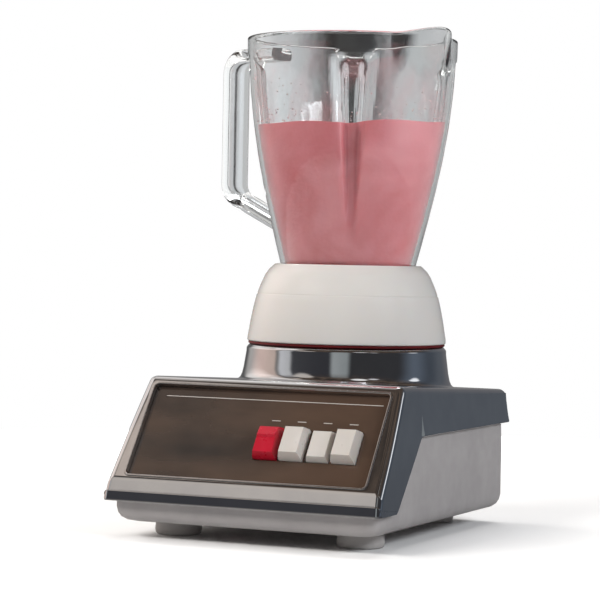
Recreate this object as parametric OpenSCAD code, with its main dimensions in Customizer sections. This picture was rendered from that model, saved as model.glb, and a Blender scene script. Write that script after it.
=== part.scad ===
// Countertop blender: chrome motor base with push buttons, a bell collar and a fluted glass jar.
// Millimetres, +Z up. The origin lies on the drive axis, in the plane that the feet stand on.
// The control panel faces -Y. The jar lifts off upwards.

/* [Base] */
// Width of the base at its lower edge
base_w = 176; // [172:1:186]
// Reach of the base in front of the drive axis
front_reach = 154; // [150:1:162]
// Reach of the base behind the drive axis
rear_reach = 69; // [68:1:78]
// Height of the feet below the lower housing
foot_h = 9.5; // [8:0.5:12]
// Height of the bottom edge of the chrome shell
shell_z = 22; // [21:0.5:24]
// Height of the upright strip below the sloped panel
strip_h = 6.3; // [5:0.1:7]
// Height of the deck at its front edge
deck_front_z = 93.5; // [92:0.5:95]
// Height of the deck at its rear edge
deck_rear_z = 84.5; // [83:0.5:86]
// How far the sloped panel leans back
panel_run = 46.5; // [44:0.5:50]
// How much each side of the shell leans and curves in, from bottom to deck
side_taper = 5.5; // [4:0.5:8]
// Sheet thickness of the chrome shell
shell_t = 1.4; // [1.2:0.1:1.6]
// Wall thickness of the moulded lower housing
tray_t = 2.4; // [2:0.1:3]

/* [Controls] */
// Width of the recess for the control plate
recess_w = 155; // [148:1:156]
// Height of the recess, measured up the slope
recess_h = 66; // [62:1:66]
// Distance between neighbouring buttons
button_pitch = 16.4; // [16:0.1:17]
// Middle of the button row, to the right of the centre line
button_row_u = 32.6; // [28:0.2:34]
// Middle of the button row, measured up the slope
button_row_v = 38.5; // [31:0.5:40]
// Travel of a button
button_travel = 4; // [3:0.5:4.5]

/* [Jar and collar] */
// Height of the jar seat above the table
seat_z = 112; // [111:0.5:114]
// Radius of the turret under the seat
turret_r = 62.6; // [61:0.2:64]
// Radius of the collar at its lower edge
collar_r = 62.4; // [61:0.2:63]
// Height of the collar
collar_h = 48.4; // [47:0.2:50]
// Radius of the jar where it leaves the collar
jar_waist_r = 42.4; // [42:0.2:43]
// Radius of the jar at its rim
jar_rim_r = 65.6; // [62:0.2:68]
// Height of the jar above the collar
jar_h = 140.6; // [130:0.2:150]
// Thickness of the glass
glass_t = 3; // [2.6:0.1:3.4]
// Depth of the four folds in the wall
fold_depth = 7.5; // [5:0.5:9]
// Reach of the handle from the drive axis
handle_reach = 110; // [106:1:114]
// Turn of the jar on its seat, seen from above
jar_turn = -21; // [-25:1:0]

/* [Hidden] */
$fn = 64;

// Chrome shell
strip_z = shell_z + strip_h;
deck_front_y = -front_reach + panel_run;
slope_a = atan2(deck_front_z - strip_z, panel_run);
deck_drop = (deck_front_z - deck_rear_z) / (rear_reach - 5 - deck_front_y);
skirt_z = 63.5;       // lower edge of the shell along the sides and the back
skirt_front_y = -87;  // where the side edge turns down towards the front
leg_rear_y = -127;    // back of the front leg at its foot
rear_round = 5;
lip_out = 2.4;
lip_h = 2;
side_straight_z = 40; // height at which the sides start to curve in
turret_hole_r = 20;

// Lower housing
tray_in = 4;          // how far the lower housing stands in from the shell's edge
tray_w = base_w - 2 * tray_in;
tray_front_y = -front_reach + 6;
tray_rear_y = rear_reach - 5;
tray_lap = 5;         // how far its walls reach up inside the shell
foot_x = 59;
foot_front_y = -111;
foot_rear_x = 45;
foot_rear_y = 38;
foot_r = 14;
post_x = 70;
post_front_y = -86;
post_rear_y = 48;
post_joint_z = 40;
vent_count = 7;

// Control plate, in the sloped frame: X along the panel, Y up the slope, Z outwards
plate_z = -3;
plate_t = 2;
recess_v = 43;        // middle of the recess up the slope
button_w = 14.6;
button_h = 20.6;
button_face_w = 10.8;
button_face_h = 17;
button_out = 4.4;     // height of the button face above the slope
window_gap = 0.5;
held_in = button_travel - 0.5;  // how far the latched button is in
breaker_x = -22;
breaker_y = -112;

// Jar seat and drive
ring_t = 1.6;
collar_z = seat_z + ring_t;
collar_top = collar_z + collar_h;
ledge_z = collar_z + 19.4;
ledge_t = 3;
flange_t = 2.5;
seal_t = 2;
neck_z = ledge_z + ledge_t + flange_t + seal_t;
neck_r = 38.4;
neck_bore_r = 40.8;
thread_out = 1.8;
thread_pitch = 4;
thread_turns = 1.5;
shaft_r = 4;
spindle_r = 3.2;
fit = 0.05;           // running clearance of shafts in bushes
stator_z = 42;
stator_h = 26;
coil_x = 26.5;
rotor_r = 19.4;
brush_z = 81;
lower_bracket_z = 17;
upper_bracket_z = 89;
bracket_t = 5;
bolt_x = 39;
post_in_x = 33;
post_in_y = 17;

function side_x(z) = base_w / 2 - side_taper * (0.65 * (z - shell_z) / (deck_front_z - shell_z)
    + 0.35 * pow(max(0, z - side_straight_z) / (deck_front_z - side_straight_z), 2));
function deck_z(y, t = 0) = deck_front_z - (y - deck_front_y) * deck_drop - t;
function slope_y(z, t = 0) = -front_reach + (z - strip_z) / tan(slope_a) + t / sin(slope_a);
// Height at which the sloped line and the deck line meet, both moved in by t
function crest_z(t) = (deck_front_z - t
    - deck_drop * (-front_reach - strip_z / tan(slope_a) + t / sin(slope_a) - deck_front_y))
    / (1 + deck_drop / tan(slope_a));
function arc(cx, cy, r, a0, a1, n) =
    [for (i = [0:n]) [cx + r * cos(a0 + (a1 - a0) * i / n), cy + r * sin(a0 + (a1 - a0) * i / n)]];
function rounded(w, h, r, n = 5) = concat(
    arc(w / 2 - r, h / 2 - r, r, 0, 90, n), arc(-w / 2 + r, h / 2 - r, r, 90, 180, n),
    arc(-w / 2 + r, -h / 2 + r, r, 180, 270, n), arc(w / 2 - r, -h / 2 + r, r, 270, 360, n));

module along_x(w) { translate([-w / 2, 0, 0]) rotate([90, 0, 90]) linear_extrude(w) children(); }
module along_y(y0, y1) { translate([0, y1, 0]) rotate([90, 0, 0]) linear_extrude(y1 - y0) children(); }
module ring(r_out, r_in, h) {
    difference() {
        cylinder(r = r_out, h = h);
        translate([0, 0, -1]) cylinder(r = r_in, h = h + 2);
    }
}
module on_slope() { translate([0, -front_reach, strip_z]) rotate([slope_a, 0, 0]) children(); }
module plate(w, h, r, z0, z1) {
    translate([0, recess_v, z0]) linear_extrude(z1 - z0) polygon(rounded(w, h, r));
}
module at_posts() {
    for (x = [-post_x, post_x], y = [post_front_y, post_rear_y]) translate([x, y, 0]) children();
}
module screw(shank_r, len, head_r, head_h) {
    difference() {
        union() {
            cylinder(r = head_r, h = head_h);
            cylinder(r = shank_r, h = head_h + len);
        }
        for (a = [0, 90]) rotate(a) translate([-head_r * 0.7, -0.4, -1])
            cube([head_r * 1.4, 0.8, 1 + head_h * 0.5]);
    }
}

// Chrome shell: sloped front, sloping deck, skirt, rolled lip and turret
module shell_outline() {
    polygon(concat(
        [[-front_reach, shell_z], [-front_reach, strip_z], [deck_front_y, deck_front_z]],
        arc(rear_reach - rear_round, deck_z(rear_reach - 5) - rear_round, rear_round, 90, 0, 4),
        [[rear_reach, skirt_z], [skirt_front_y, skirt_z], [leg_rear_y, shell_z]]));
}
module shell_hollow() {
    polygon([[-front_reach + shell_t, -1], [-front_reach + shell_t, strip_z - shell_t / 2],
        [slope_y(crest_z(shell_t), shell_t), crest_z(shell_t)],
        [rear_reach - shell_t - 4, deck_z(rear_reach - 5, shell_t)],
        [rear_reach - shell_t, deck_z(rear_reach - 5, shell_t) - 4], [rear_reach - shell_t, -1]]);
}
module shell_front(t) {
    z = [0, side_straight_z, 50, 60, 70, 80, 88, 100];
    polygon(concat([for (k = z) [side_x(k) - t, k]], [for (i = [7:-1:0]) [t - side_x(z[i]), z[i]]]));
}
module shell_block() {
    intersection() {
        along_x(base_w + 2) shell_outline();
        along_y(-front_reach - 1, rear_reach + 1) shell_front(0);
    }
}
module turret() {
    rotate_extrude() polygon([
        [turret_r + 3.4, deck_rear_z - 2], [turret_r + 2.6, 90], [turret_r + 1.8, 98],
        [turret_r + 0.8, 106], [turret_r, seat_z - 2.4], [turret_r - 0.6, seat_z - 0.8],
        [turret_r - 2.2, seat_z], [turret_hole_r, seat_z], [turret_hole_r, seat_z - shell_t],
        [turret_r - 3, seat_z - shell_t], [turret_r - 1.6, seat_z - 3.4], [turret_r - 0.6, 106],
        [turret_r + 0.4, 98], [turret_r + 1.2, 90], [turret_r + 2, deck_rear_z - 2]]);
}
module lip() {
    side = side_x(skirt_z) - shell_t;
    back = rear_reach - shell_t;
    difference() {
        translate([-side - lip_out, skirt_front_y, skirt_z])
            cube([2 * (side + lip_out), back + lip_out - skirt_front_y, lip_h]);
        translate([-side, skirt_front_y - 1, skirt_z - 1])
            cube([2 * side, back - skirt_front_y + 1, lip_h + 2]);
    }
}
module upper_housing() {
    color("silver") difference() {
        union() {
            difference() {
                shell_block();
                intersection() {
                    along_x(base_w) shell_hollow();
                    along_y(-front_reach, rear_reach) shell_front(shell_t);
                }
                translate([0, 0, deck_rear_z - 6]) cylinder(r = turret_r + 1, h = 20);
                on_slope() plate(recess_w, recess_h, 4, -shell_t - 2, 1);
            }
            turret();
            lip();
            intersection() {
                shell_block();
                at_posts() translate([0, 0, post_joint_z]) cylinder(r = 4.6, h = 60);
            }
        }
        at_posts() translate([0, 0, post_joint_z - 1]) cylinder(r = 1.7, h = 22);
        for (x = [-post_in_x, post_in_x], y = [-post_in_y, post_in_y])
            translate([x, y, seat_z - 3]) cylinder(r = 2.2, h = 4);
    }
}

// Grey lower housing: a tray with vents, screw wells and holes for the cord gland and the reset button
module tray_outline(t) {
    top = skirt_z + tray_lap + (t > 0 ? 1 : 0);
    polygon([[tray_front_y + t, foot_h + t], [tray_front_y + t, strip_z],
        [skirt_front_y - 12 + t, top], [tray_rear_y - t, top], [tray_rear_y - t, foot_h + t]]);
}
module tray_block(t) {
    intersection() {
        along_x(tray_w) tray_outline(t);
        translate([0, (tray_front_y + tray_rear_y) / 2, foot_h + t]) linear_extrude(80)
            polygon(rounded(tray_w - 2 * t, tray_rear_y - tray_front_y - 2 * t, 7 - t));
        along_y(-front_reach, rear_reach) polygon([
            [-tray_w / 2 + 5 + t, foot_h], [tray_w / 2 - 5 - t, foot_h], [tray_w / 2 - t, foot_h + 9],
            [side_x(80) - shell_t - 0.6 - t, 80], [-side_x(80) + shell_t + 0.6 + t, 80],
            [-tray_w / 2 + t, foot_h + 9]]);
    }
}
module lower_housing() {
    color("lightgray") difference() {
        union() {
            difference() {
                tray_block(0);
                tray_block(tray_t);
                // the front is open above the strip, where the switch hangs from the panel
                translate([-tray_w / 2 + 8, tray_front_y - 1, strip_z + 2]) cube([tray_w - 16, 54, 60]);
            }
            at_posts() translate([0, 0, foot_h + 1]) cylinder(r = 5, h = post_joint_z - foot_h - 1.2);
            for (x = [-1, 1]) {
                translate([x * foot_x, foot_front_y, foot_h + 1]) cylinder(r = 6, h = 8);
                translate([x * foot_rear_x, foot_rear_y, foot_h + 1]) cylinder(r = 6, h = 8);
            }
        }
        at_posts() {
            cylinder(r = 4.2, h = foot_h + 8);
            cylinder(r = 2.3, h = 60);
        }
        for (x = [-1, 1]) {
            translate([x * foot_x, foot_front_y, 0]) cylinder(r = 1.7, h = 17);
            translate([x * foot_rear_x, foot_rear_y, 0]) cylinder(r = 1.7, h = 17);
        }
        for (i = [0:vent_count - 1]) translate([-24 + i * 8 - 1.5, -34, 0]) cube([3, 60, 20]);
        translate([breaker_x, breaker_y, 0]) cylinder(r = 4.4, h = 20);
        translate([-45, tray_rear_y + 1, 30]) rotate([90, 0, 0]) cylinder(r = 6.5, h = 6);
    }
}

// Controls
module control_plate() {
    color([0.1, 0.07, 0.06]) on_slope() difference() {
        plate(recess_w + 5, recess_h + 5, 5, plate_z - plate_t, plate_z);
        for (i = [0:3]) translate([button_u(i), button_row_v, plate_z - plate_t - 1])
            linear_extrude(plate_t + 2)
                square([button_w + 2 * window_gap, button_h + 2 * window_gap], center = true);
    }
}
module panel_bezel() {
    color("gainsboro") on_slope() difference() {
        union() {
            plate(recess_w - 0.4, recess_h - 0.4, 3.8, plate_z, 0.5);
            plate(recess_w + 5, recess_h + 5, 5, plate_z, -shell_t - 0.25);
        }
        plate(recess_w - 3, recess_h - 3, 2.5, plate_z - 1, 2);
    }
}
function button_u(i) = button_row_u + (i - 1.5) * button_pitch;
module key_side(ridge) {
    z0 = plate_z - 5.6;
    f = button_face_h / 2;
    h = button_h / 2;
    polygon(concat([[-h, z0], [h, z0], [h, plate_z + 2]],
        ridge ? [[f, button_out - 1.4], [f - 6.4, button_out + 0.4], [f - 7.6, button_out - 0.6]]
              : [[f, button_out]],
        [[-f, button_out - (ridge ? 1.2 : 0)], [-h, plate_z + 2]]));
}
module button(i, ridge, push) {
    stem = 5;
    on_slope() translate([button_u(i), button_row_v, -push]) union() {
        intersection() {
            translate([-20, 0, 0]) rotate([90, 0, 90]) linear_extrude(40) key_side(ridge);
            translate([0, 30, 0]) rotate([90, 0, 0]) linear_extrude(60) polygon([
                [-button_w / 2, plate_z - 6], [button_w / 2, plate_z - 6], [button_w / 2, plate_z + 2],
                [button_face_w / 2, button_out + 1], [-button_face_w / 2, button_out + 1],
                [-button_w / 2, plate_z + 2]]);
        }
        translate([-7.6, -12.5, plate_z - 5]) cube([15.2, 25, 2.4]);
        translate([-stem / 2, -stem / 2, plate_z - 17]) cube([stem, stem, 13]);
    }
}
module off_button() { color("crimson") button(0, true, 0); }
module grate_button() { color("whitesmoke") button(1, false, 0); }
module liquefy_button() { color("whitesmoke") button(2, false, held_in); }
module pulse_button() { color("whitesmoke") button(3, false, 0); }
module switch_body() {
    w = 4 * button_pitch + 2;
    top = plate_z - plate_t - 9;
    color("dimgray") on_slope() difference() {
        union() {
            translate([button_row_u - w / 2, button_row_v - 11, top - 20]) cube([w, 22, 20]);
            for (s = [-1, 1]) translate([button_row_u + s * (w / 2 + 2) - 2, button_row_v - 8, top - 20])
                cube([4, 16, 29]);
        }
        for (i = [0:3]) translate([button_u(i) - 3, button_row_v - 3, top - 13]) cube([6, 6, 20]);
    }
}
module circuit_breaker() {
    color("black") translate([breaker_x, breaker_y, foot_h + tray_t]) difference() {
        translate([-9, -12, 0]) cube([18, 24, 20]);
        translate([0, 0, -1]) cylinder(r = 4.6, h = 5);
        cylinder(r = 2.2, h = 14);
    }
}
module reset_button() {
    color("crimson") translate([breaker_x, breaker_y, foot_h - 2]) {
        cylinder(r = 4, h = 5.6);
        cylinder(r = 1.8, h = 12);
    }
}

// Feet, screws and gland
module foot(x, y) {
    color("gray") translate([x, y, 0]) difference() {
        rotate_extrude() polygon([[0, 0], [foot_r - 1.5, 0], [foot_r - 0.4, 0.8], [foot_r, 2.4],
            [foot_r - 0.6, foot_h - 0.02], [0, foot_h - 0.02]]);
        translate([0, 0, -1]) cylinder(r = 4.4, h = 5.5);
        cylinder(r = 2.1, h = foot_h + 1);
    }
}
module foot_screws() {
    color("silver") for (x = [-1, 1]) {
        translate([x * foot_x, foot_front_y, 2.4]) screw(1.68, 12, 3.6, 2.1);
        translate([x * foot_rear_x, foot_rear_y, 2.4]) screw(1.68, 12, 3.6, 2.1);
    }
}
module housing_screws() {
    color("silver") at_posts() translate([0, 0, foot_h + 5.4]) screw(1.68, 34, 3.9, 2.6);
}
module cord_gland() {
    color("black") translate([-45, tray_rear_y, 30]) rotate([-90, 0, 0]) difference() {
        union() {
            translate([0, 0, 0.02]) cylinder(r = 9, h = 2.6);
            translate([0, 0, -tray_t - 2.6]) cylinder(r = 6.4, h = 10.6);
            translate([0, 0, -tray_t - 4.6]) cylinder(r = 8.6, h = 2.2);
        }
        translate([0, 0, -10]) cylinder(r = 3.7, h = 20);
    }
}

// Seat of the jar on the turret
module seat_ring() {
    color("darkred") translate([0, 0, seat_z + 0.02]) ring(turret_r - 2.3, 50, ring_t - 0.06);
}
module jar_locator() {
    color("dimgray") translate([0, 0, seat_z + 0.02]) difference() {
        union() {
            cylinder(r = 44, h = 3);
            ring(27, 23, 10);
        }
        translate([0, 0, -1]) cylinder(r = turret_hole_r, h = 12);
        for (x = [-post_in_x, post_in_x], y = [-post_in_y, post_in_y])
            translate([x, y, -1]) cylinder(r = 2.2, h = 6);
    }
}
module locator_screws() {
    color("silver") for (x = [-post_in_x, post_in_x], y = [-post_in_y, post_in_y])
        translate([x, y, seat_z + 5.2]) mirror([0, 0, 1]) screw(1.9, 10, 3.6, 2.1);
}

// Motor
module motor_stator() {
    color("slategray") translate([0, 0, stator_z]) difference() {
        translate([0, 0, stator_h / 2]) cube([88, 68, stator_h], center = true);
        translate([0, 0, -1]) cylinder(r = rotor_r + 0.8, h = stator_h + 2);
        for (s = [-1, 1]) {
            translate([s * bolt_x, 0, -1]) cylinder(r = 2.3, h = stator_h + 2);
            for (t = [-1, 1]) translate([s * coil_x, t * 13.25, stator_h / 2])
                cube([9, 7.1, stator_h + 2], center = true);
        }
    }
}
module field_coil(s) {
    color("peru") translate([s * coil_x, 0, stator_z + stator_h / 2]) difference() {
        cube([7.6, 33, stator_h + 14], center = true);
        cube([9, 20, stator_h + 0.4], center = true);
    }
}
module motor_shaft() {
    color("silver") translate([0, 0, 13]) cylinder(r = shaft_r, h = 93);
}
module armature_core() {
    slots = 12;
    color("gray") translate([0, 0, stator_z]) difference() {
        cylinder(r = rotor_r, h = stator_h);
        translate([0, 0, -1]) cylinder(r = shaft_r, h = stator_h + 2);
        for (i = [0:slots - 1]) rotate(i * 360 / slots) translate([rotor_r - 5, -1, -1])
            cube([8, 2, stator_h + 2]);
    }
}
module armature_windings() {
    color("peru") for (z = [stator_z - 5.4, stator_z + stator_h + 0.2]) translate([0, 0, z])
        rotate_extrude() polygon([[7, 0], [14, 0], [16.5, 1.4], [16.5, 3.8], [14, 5.2], [7, 5.2]]);
}
module commutator() {
    color("chocolate") translate([0, 0, brush_z - 6]) difference() {
        cylinder(r = 10.4, h = 12);
        translate([0, 0, -1]) cylinder(r = shaft_r, h = 14);
        for (i = [0:23]) rotate(i * 15) translate([9.2, -0.3, 1]) cube([3, 0.6, 12]);
    }
}
module cooling_fan() {
    blades = 9;
    color("whitesmoke") translate([0, 0, 26]) difference() {
        union() {
            cylinder(r = 8, h = 9);
            cylinder(r = 31, h = 1.6);
            for (i = [0:blades - 1]) rotate(i * 360 / blades) translate([6, -0.8, 0]) cube([24, 1.6, 8]);
        }
        translate([0, 0, -1]) cylinder(r = shaft_r, h = 12);
    }
}
module bracket(z, hub_up) {
    translate([0, 0, z]) difference() {
        union() {
            translate([-46, -9, 0]) cube([92, 18, bracket_t]);
            for (x = [-post_in_x, post_in_x]) translate([x - 6, -post_in_y - 6, 0])
                cube([12, 2 * post_in_y + 12, bracket_t]);
            translate([0, 0, hub_up ? 0 : -2]) cylinder(r = 10, h = bracket_t + 2);
        }
        translate([0, 0, -4]) cylinder(r = 7, h = bracket_t + 8);
        for (s = [-1, 1]) translate([s * bolt_x, 0, -1]) cylinder(r = 2.3, h = bracket_t + 2);
        for (x = [-post_in_x, post_in_x], y = [-post_in_y, post_in_y])
            translate([x, y, -1]) cylinder(r = 2.4, h = bracket_t + 2);
    }
}
module upper_bracket() { color("darkgray") bracket(upper_bracket_z, true); }
module lower_bracket() { color("darkgray") bracket(lower_bracket_z, false); }
module bush(z, h) { translate([0, 0, z]) ring(6.98, shaft_r + fit, h); }
module upper_bush() { color("goldenrod") bush(upper_bracket_z, bracket_t + 2); }
module lower_bush() { color("goldenrod") bush(lower_bracket_z - 2, bracket_t + 2); }
module brush_holder(s) {
    color("saddlebrown") translate([0, 0, brush_z]) rotate(s > 0 ? 0 : 180) difference() {
        translate([13, -5.5, -4.5]) cube([23, 11, 9]);
        translate([12, -3.6, -3]) cube([22.6, 7.2, 6]);
    }
}
module carbon_brush(s) {
    color("black") translate([0, 0, brush_z]) rotate(s > 0 ? 0 : 180)
        translate([10.6, -3.4, -2.8]) cube([12, 6.8, 5.6]);
}
module brush_spring(s) {
    color("silver") translate([0, 0, brush_z]) rotate(s > 0 ? 0 : 180) for (i = [0:4])
        translate([23.4 + i * 2.6, 0, 0]) rotate([0, 90, 0]) rotate_extrude()
            translate([2, 0]) circle(r = 0.45, $fn = 16);
}
module motor_bolts() {
    z0 = lower_bracket_z - 3;
    color("silver") for (s = [-1, 1]) translate([s * bolt_x, 0, z0]) {
        cylinder(r = 3.8, h = 2.98, $fn = 6);
        cylinder(r = 2, h = 79.8);
        translate([0, 0, upper_bracket_z + bracket_t - z0 + 0.02]) ring(3.8, 1.98, 2.6);
    }
}
module motor_posts() {
    z0 = upper_bracket_z + bracket_t + 3.04;
    color("silver") for (x = [-post_in_x, post_in_x], y = [-post_in_y, post_in_y])
        translate([x, y, z0]) difference() {
            cylinder(r = 4.4, h = seat_z - shell_t - z0 - 0.02);
            translate([0, 0, 2]) cylinder(r = 1.92, h = 20);
        }
}
module motor_grommets() {
    color("black") for (x = [-post_in_x, post_in_x], y = [-post_in_y, post_in_y])
        translate([x, y, upper_bracket_z + bracket_t + 0.02]) ring(5.4, 2.4, 3);
}
module slinger_washer() {
    color("black") translate([0, 0, upper_bracket_z + bracket_t + 3.6]) ring(15, shaft_r, 1.6);
}
module lobes(r, depth, h) {
    difference() {
        cylinder(r = r, h = h);
        for (i = [0:5]) rotate(i * 60) translate([r, 0, -1]) cylinder(r = depth, h = h + 2);
    }
}
module drive_coupling() {
    color("dimgray") translate([0, 0, 101.6]) difference() {
        cylinder(r = 13.5, h = 13.4);
        translate([0, 0, -1]) cylinder(r = shaft_r, h = 10);
        translate([0, 0, 5.4]) difference() {
            cylinder(r = 10.4, h = 9);
            for (i = [0:5]) rotate(i * 60) translate([10.4, 0, -1]) cylinder(r = 2.2, h = 11);
        }
    }
}
module suppressor() {
    color("royalblue") translate([46, -70, foot_h + tray_t + 0.02]) difference() {
        translate([-13, -8, 0]) cube([26, 16, 14]);
        for (s = [-1, 1]) translate([s * 6, 0, 11]) cylinder(r = 1.2, h = 5);
    }
}
module lead(points, r) {
    for (i = [0:len(points) - 2]) hull() {
        translate(points[i]) sphere(r = r, $fn = 8);
        translate(points[i + 1]) sphere(r = r, $fn = 8);
    }
}
supply_route = [[-45, 53, 30], [-52, 42, 26], [-58, 20, 20], [-60, -20, 16], [-58, -60, 16],
    [-50, -84, 18], [-40, -100, 22], [-32.7, -106, 26]];
switch_route = [[-24, -98.6, 28], [-18, -92, 38], [0, -90, 46], [16, -98.8, 44.9]];
motor_route = [[52, -98.8, 44.9], [56, -84, 44], [58, -60, 34], [56, -30, 26], [50, -12, 30],
    [44, -10, 37], [32, -9, 37.6]];
module supply_leads() {
    color("brown") {
        lead(supply_route, 1.5);
        lead(switch_route, 1.2);
        lead(motor_route, 1.2);
    }
}

// Collar: a bell with a sleeve inside for the jar's neck, fins on the sleeve and a ledge for the blades
function bell(t) = let (z = [0, 7, 19, 31, 41.5, 46.8], r = [0, 1, 3.1, 6.5, 10.6, 15.3])
    [for (i = [0:5]) [collar_r - r[i] - t, z[i]]];
module collar() {
    inner = bell(3);
    sleeve_r = neck_bore_r + 3;
    floor_z = ledge_z - collar_z;
    cavity_z = collar_h - 6;
    rib_top = 31;
    color("linen") translate([0, 0, collar_z]) {
        rotate_extrude() polygon(concat(bell(0), [
            [46.2, collar_h], [43.4, collar_h], [neck_bore_r, collar_h - 4],
            [neck_bore_r, floor_z + ledge_t], [31, floor_z + ledge_t], [31, floor_z],
            [sleeve_r, floor_z], [sleeve_r, cavity_z], [inner[4][0] - 1.5, cavity_z]],
            [for (i = [3:-1:0]) inner[i]]));
        for (i = [0:7]) rotate(i * 45 + 22.5) translate([sleeve_r - 0.5, -1, floor_z + 3])
            cube([7, 2, rib_top - floor_z - 3]);
    }
}
module seal_ring() {
    color("dimgray") rotate(jar_turn) translate([0, 0, neck_z - seal_t + 0.02])
        ring(neck_r - 0.6, neck_r - 5.6, seal_t - 0.04);
}
module blade_base() {
    z0 = ledge_z + ledge_t + 0.02;
    color("silver") difference() {
        union() {
            translate([0, 0, z0]) rotate_extrude() polygon([[6, 0], [38, 0], [38, flange_t - 0.04],
                [31, flange_t - 0.04], [28, 7], [14, 11], [8, 13], [6, 13]]);
            translate([0, 0, z0 - 14]) cylinder(r = 11, h = 14.5);
        }
        translate([0, 0, z0 - 15]) cylinder(r = 6, h = 30);
    }
}
module spindle_bush(z, h) { translate([0, 0, z]) ring(5.98, spindle_r + fit, h); }
module upper_spindle_bush() { color("goldenrod") spindle_bush(ledge_z + ledge_t + 5, 8); }
module lower_spindle_bush() { color("goldenrod") spindle_bush(ledge_z + ledge_t - 13.9, 8); }
module blade_shaft() {
    color("silver") translate([0, 0, 112]) cylinder(r = spindle_r, h = 46);
}
module wing(reach, root, tip, lift, thick) {
    rotate([0, -lift, 0]) linear_extrude(thick) polygon([[0, -root], [reach * 0.45, -root],
        [reach, -tip], [reach + 2, 0], [reach * 0.8, root * 0.8], [0, root]]);
}
module blade(z, lift, reach, turn) {
    translate([0, 0, z]) rotate(turn) difference() {
        union() {
            cylinder(r = 7.5, h = 1.2);
            for (a = [0, 180]) rotate(a) translate([6.3, 0, 0]) wing(reach, 5, 2.6, lift, 1.2);
        }
        translate([0, 0, -3]) cylinder(r = spindle_r, h = 8);
    }
}
blade_z = ledge_z + ledge_t + 14;
module lower_blade() { color("silver") blade(blade_z, -10, 19, 20); }
module upper_blade() { color("silver") blade(blade_z + 2.4, 28, 19, 110); }
module blade_washers() {
    color("whitesmoke") {
        translate([0, 0, blade_z - 0.9]) ring(6, spindle_r, 0.88);
        translate([0, 0, blade_z + 1.22]) ring(6, spindle_r, 1.16);
    }
}
module cap_nut() {
    color("silver") translate([0, 0, blade_z + 3.62]) difference() {
        union() {
            cylinder(r = 6, h = 4.4, $fn = 6);
            translate([0, 0, 4.4]) cylinder(r = 4.6, h = 2);
        }
        translate([0, 0, -1]) cylinder(r = spindle_r, h = 6);
    }
}
module driven_coupling() {
    color("dimgray") translate([0, 0, 107.6]) difference() {
        union() {
            lobes(9.6, 2.9, 8.6);
            translate([0, 0, 8.6]) cylinder(r = 7, h = 4.6);
        }
        translate([0, 0, 4.4]) cylinder(r = spindle_r, h = 20);
    }
}

// Glass jar: four folds that fade into a round neck, a spout opposite the handle, a handle and a thread
jar_z = collar_top;
rim_z = jar_z + jar_h;
fold_top = rim_z - 17;
fold_end = jar_z + 12;
around = 72;
spout_out = 11;
spout_half = 24;      // half the spout's width, in degrees round the jar
spout_rise = 4;
function ease(x) = let (t = max(0, min(1, x))) t * t * (3 - 2 * t);
function jar_r(z) = z < jar_z ? neck_r + (jar_waist_r - neck_r) * ease((z - jar_z + 5) / 5)
    : jar_waist_r + (jar_rim_r - jar_waist_r) * sin(90 * (z - jar_z) / jar_h);
function fold_half(z) = 3 + 7.5 * (z - fold_end) / (fold_top - fold_end);
function fold_in(z) = fold_depth * ease((fold_top + 5 - z) / 9) * ease((z - fold_end) / 60);
// Distance along the wall from the nearest fold, in millimetres
function off_fold(a, z) = abs((a + 360) % 90 - 45) * PI / 180 * jar_r(z);
function spout(a, z) = let (d = min(a, 360 - a))
    spout_out * ease((z - rim_z + 30) / 30) * ease((spout_half - d) / spout_half);
function wall_r(a, z, t) = jar_r(z) - t + spout(a, z)
    - fold_in(z) * ease(1.35 - off_fold(a, z) / max(2, fold_half(z)));
function rim_rise(a) = spout_rise * ease((spout_half - min(a, 360 - a)) / spout_half);
outer_z = [neck_z, jar_z - 5, jar_z - 2, jar_z, jar_z + 14, jar_z + 30, jar_z + 48, jar_z + 68,
    jar_z + 88, jar_z + 106, fold_top - 5, fold_top, fold_top + 5, rim_z];
inner_z = [rim_z, fold_top + 5, fold_top, fold_top - 5, jar_z + 106, jar_z + 88, jar_z + 68,
    jar_z + 48, jar_z + 30, jar_z + 14, jar_z, neck_z];
function jar_ring(z, t) = [for (i = [0:around - 1]) let (a = i * 360 / around)
    [wall_r(a, z, t) * cos(a), wall_r(a, z, t) * sin(a), z + (z == rim_z ? rim_rise(a) : 0)]];
module jar_wall() {
    rings = concat([for (z = outer_z) jar_ring(z, 0)], [for (z = inner_z) jar_ring(z, glass_t)]);
    n = len(rings);
    polyhedron([for (k = rings) each k], [for (k = [0:n - 1], i = [0:around - 1])
        let (j = (i + 1) % around, m = (k + 1) % n)
        each [[k * around + i, m * around + i, k * around + j],
              [k * around + j, m * around + i, m * around + j]]]);
}
module handle() {
    grip = handle_reach - 4;
    path = [[67.5, rim_z - 6.5], [80, rim_z - 6.5], [grip - 10, rim_z - 6.5], [grip - 3, rim_z - 9.5],
        [grip, rim_z - 17], [grip, rim_z - 50], [grip, rim_z - 86], [grip - 2.5, rim_z - 92],
        [grip - 9, rim_z - 97], [72, rim_z - 110], [50, rim_z - 119]];
    for (i = [0:len(path) - 2]) hull() for (p = [path[i], path[i + 1]], s = [-6, 6])
        translate([-p[0], s, p[1]]) sphere(r = 4, $fn = 12);
}
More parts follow.
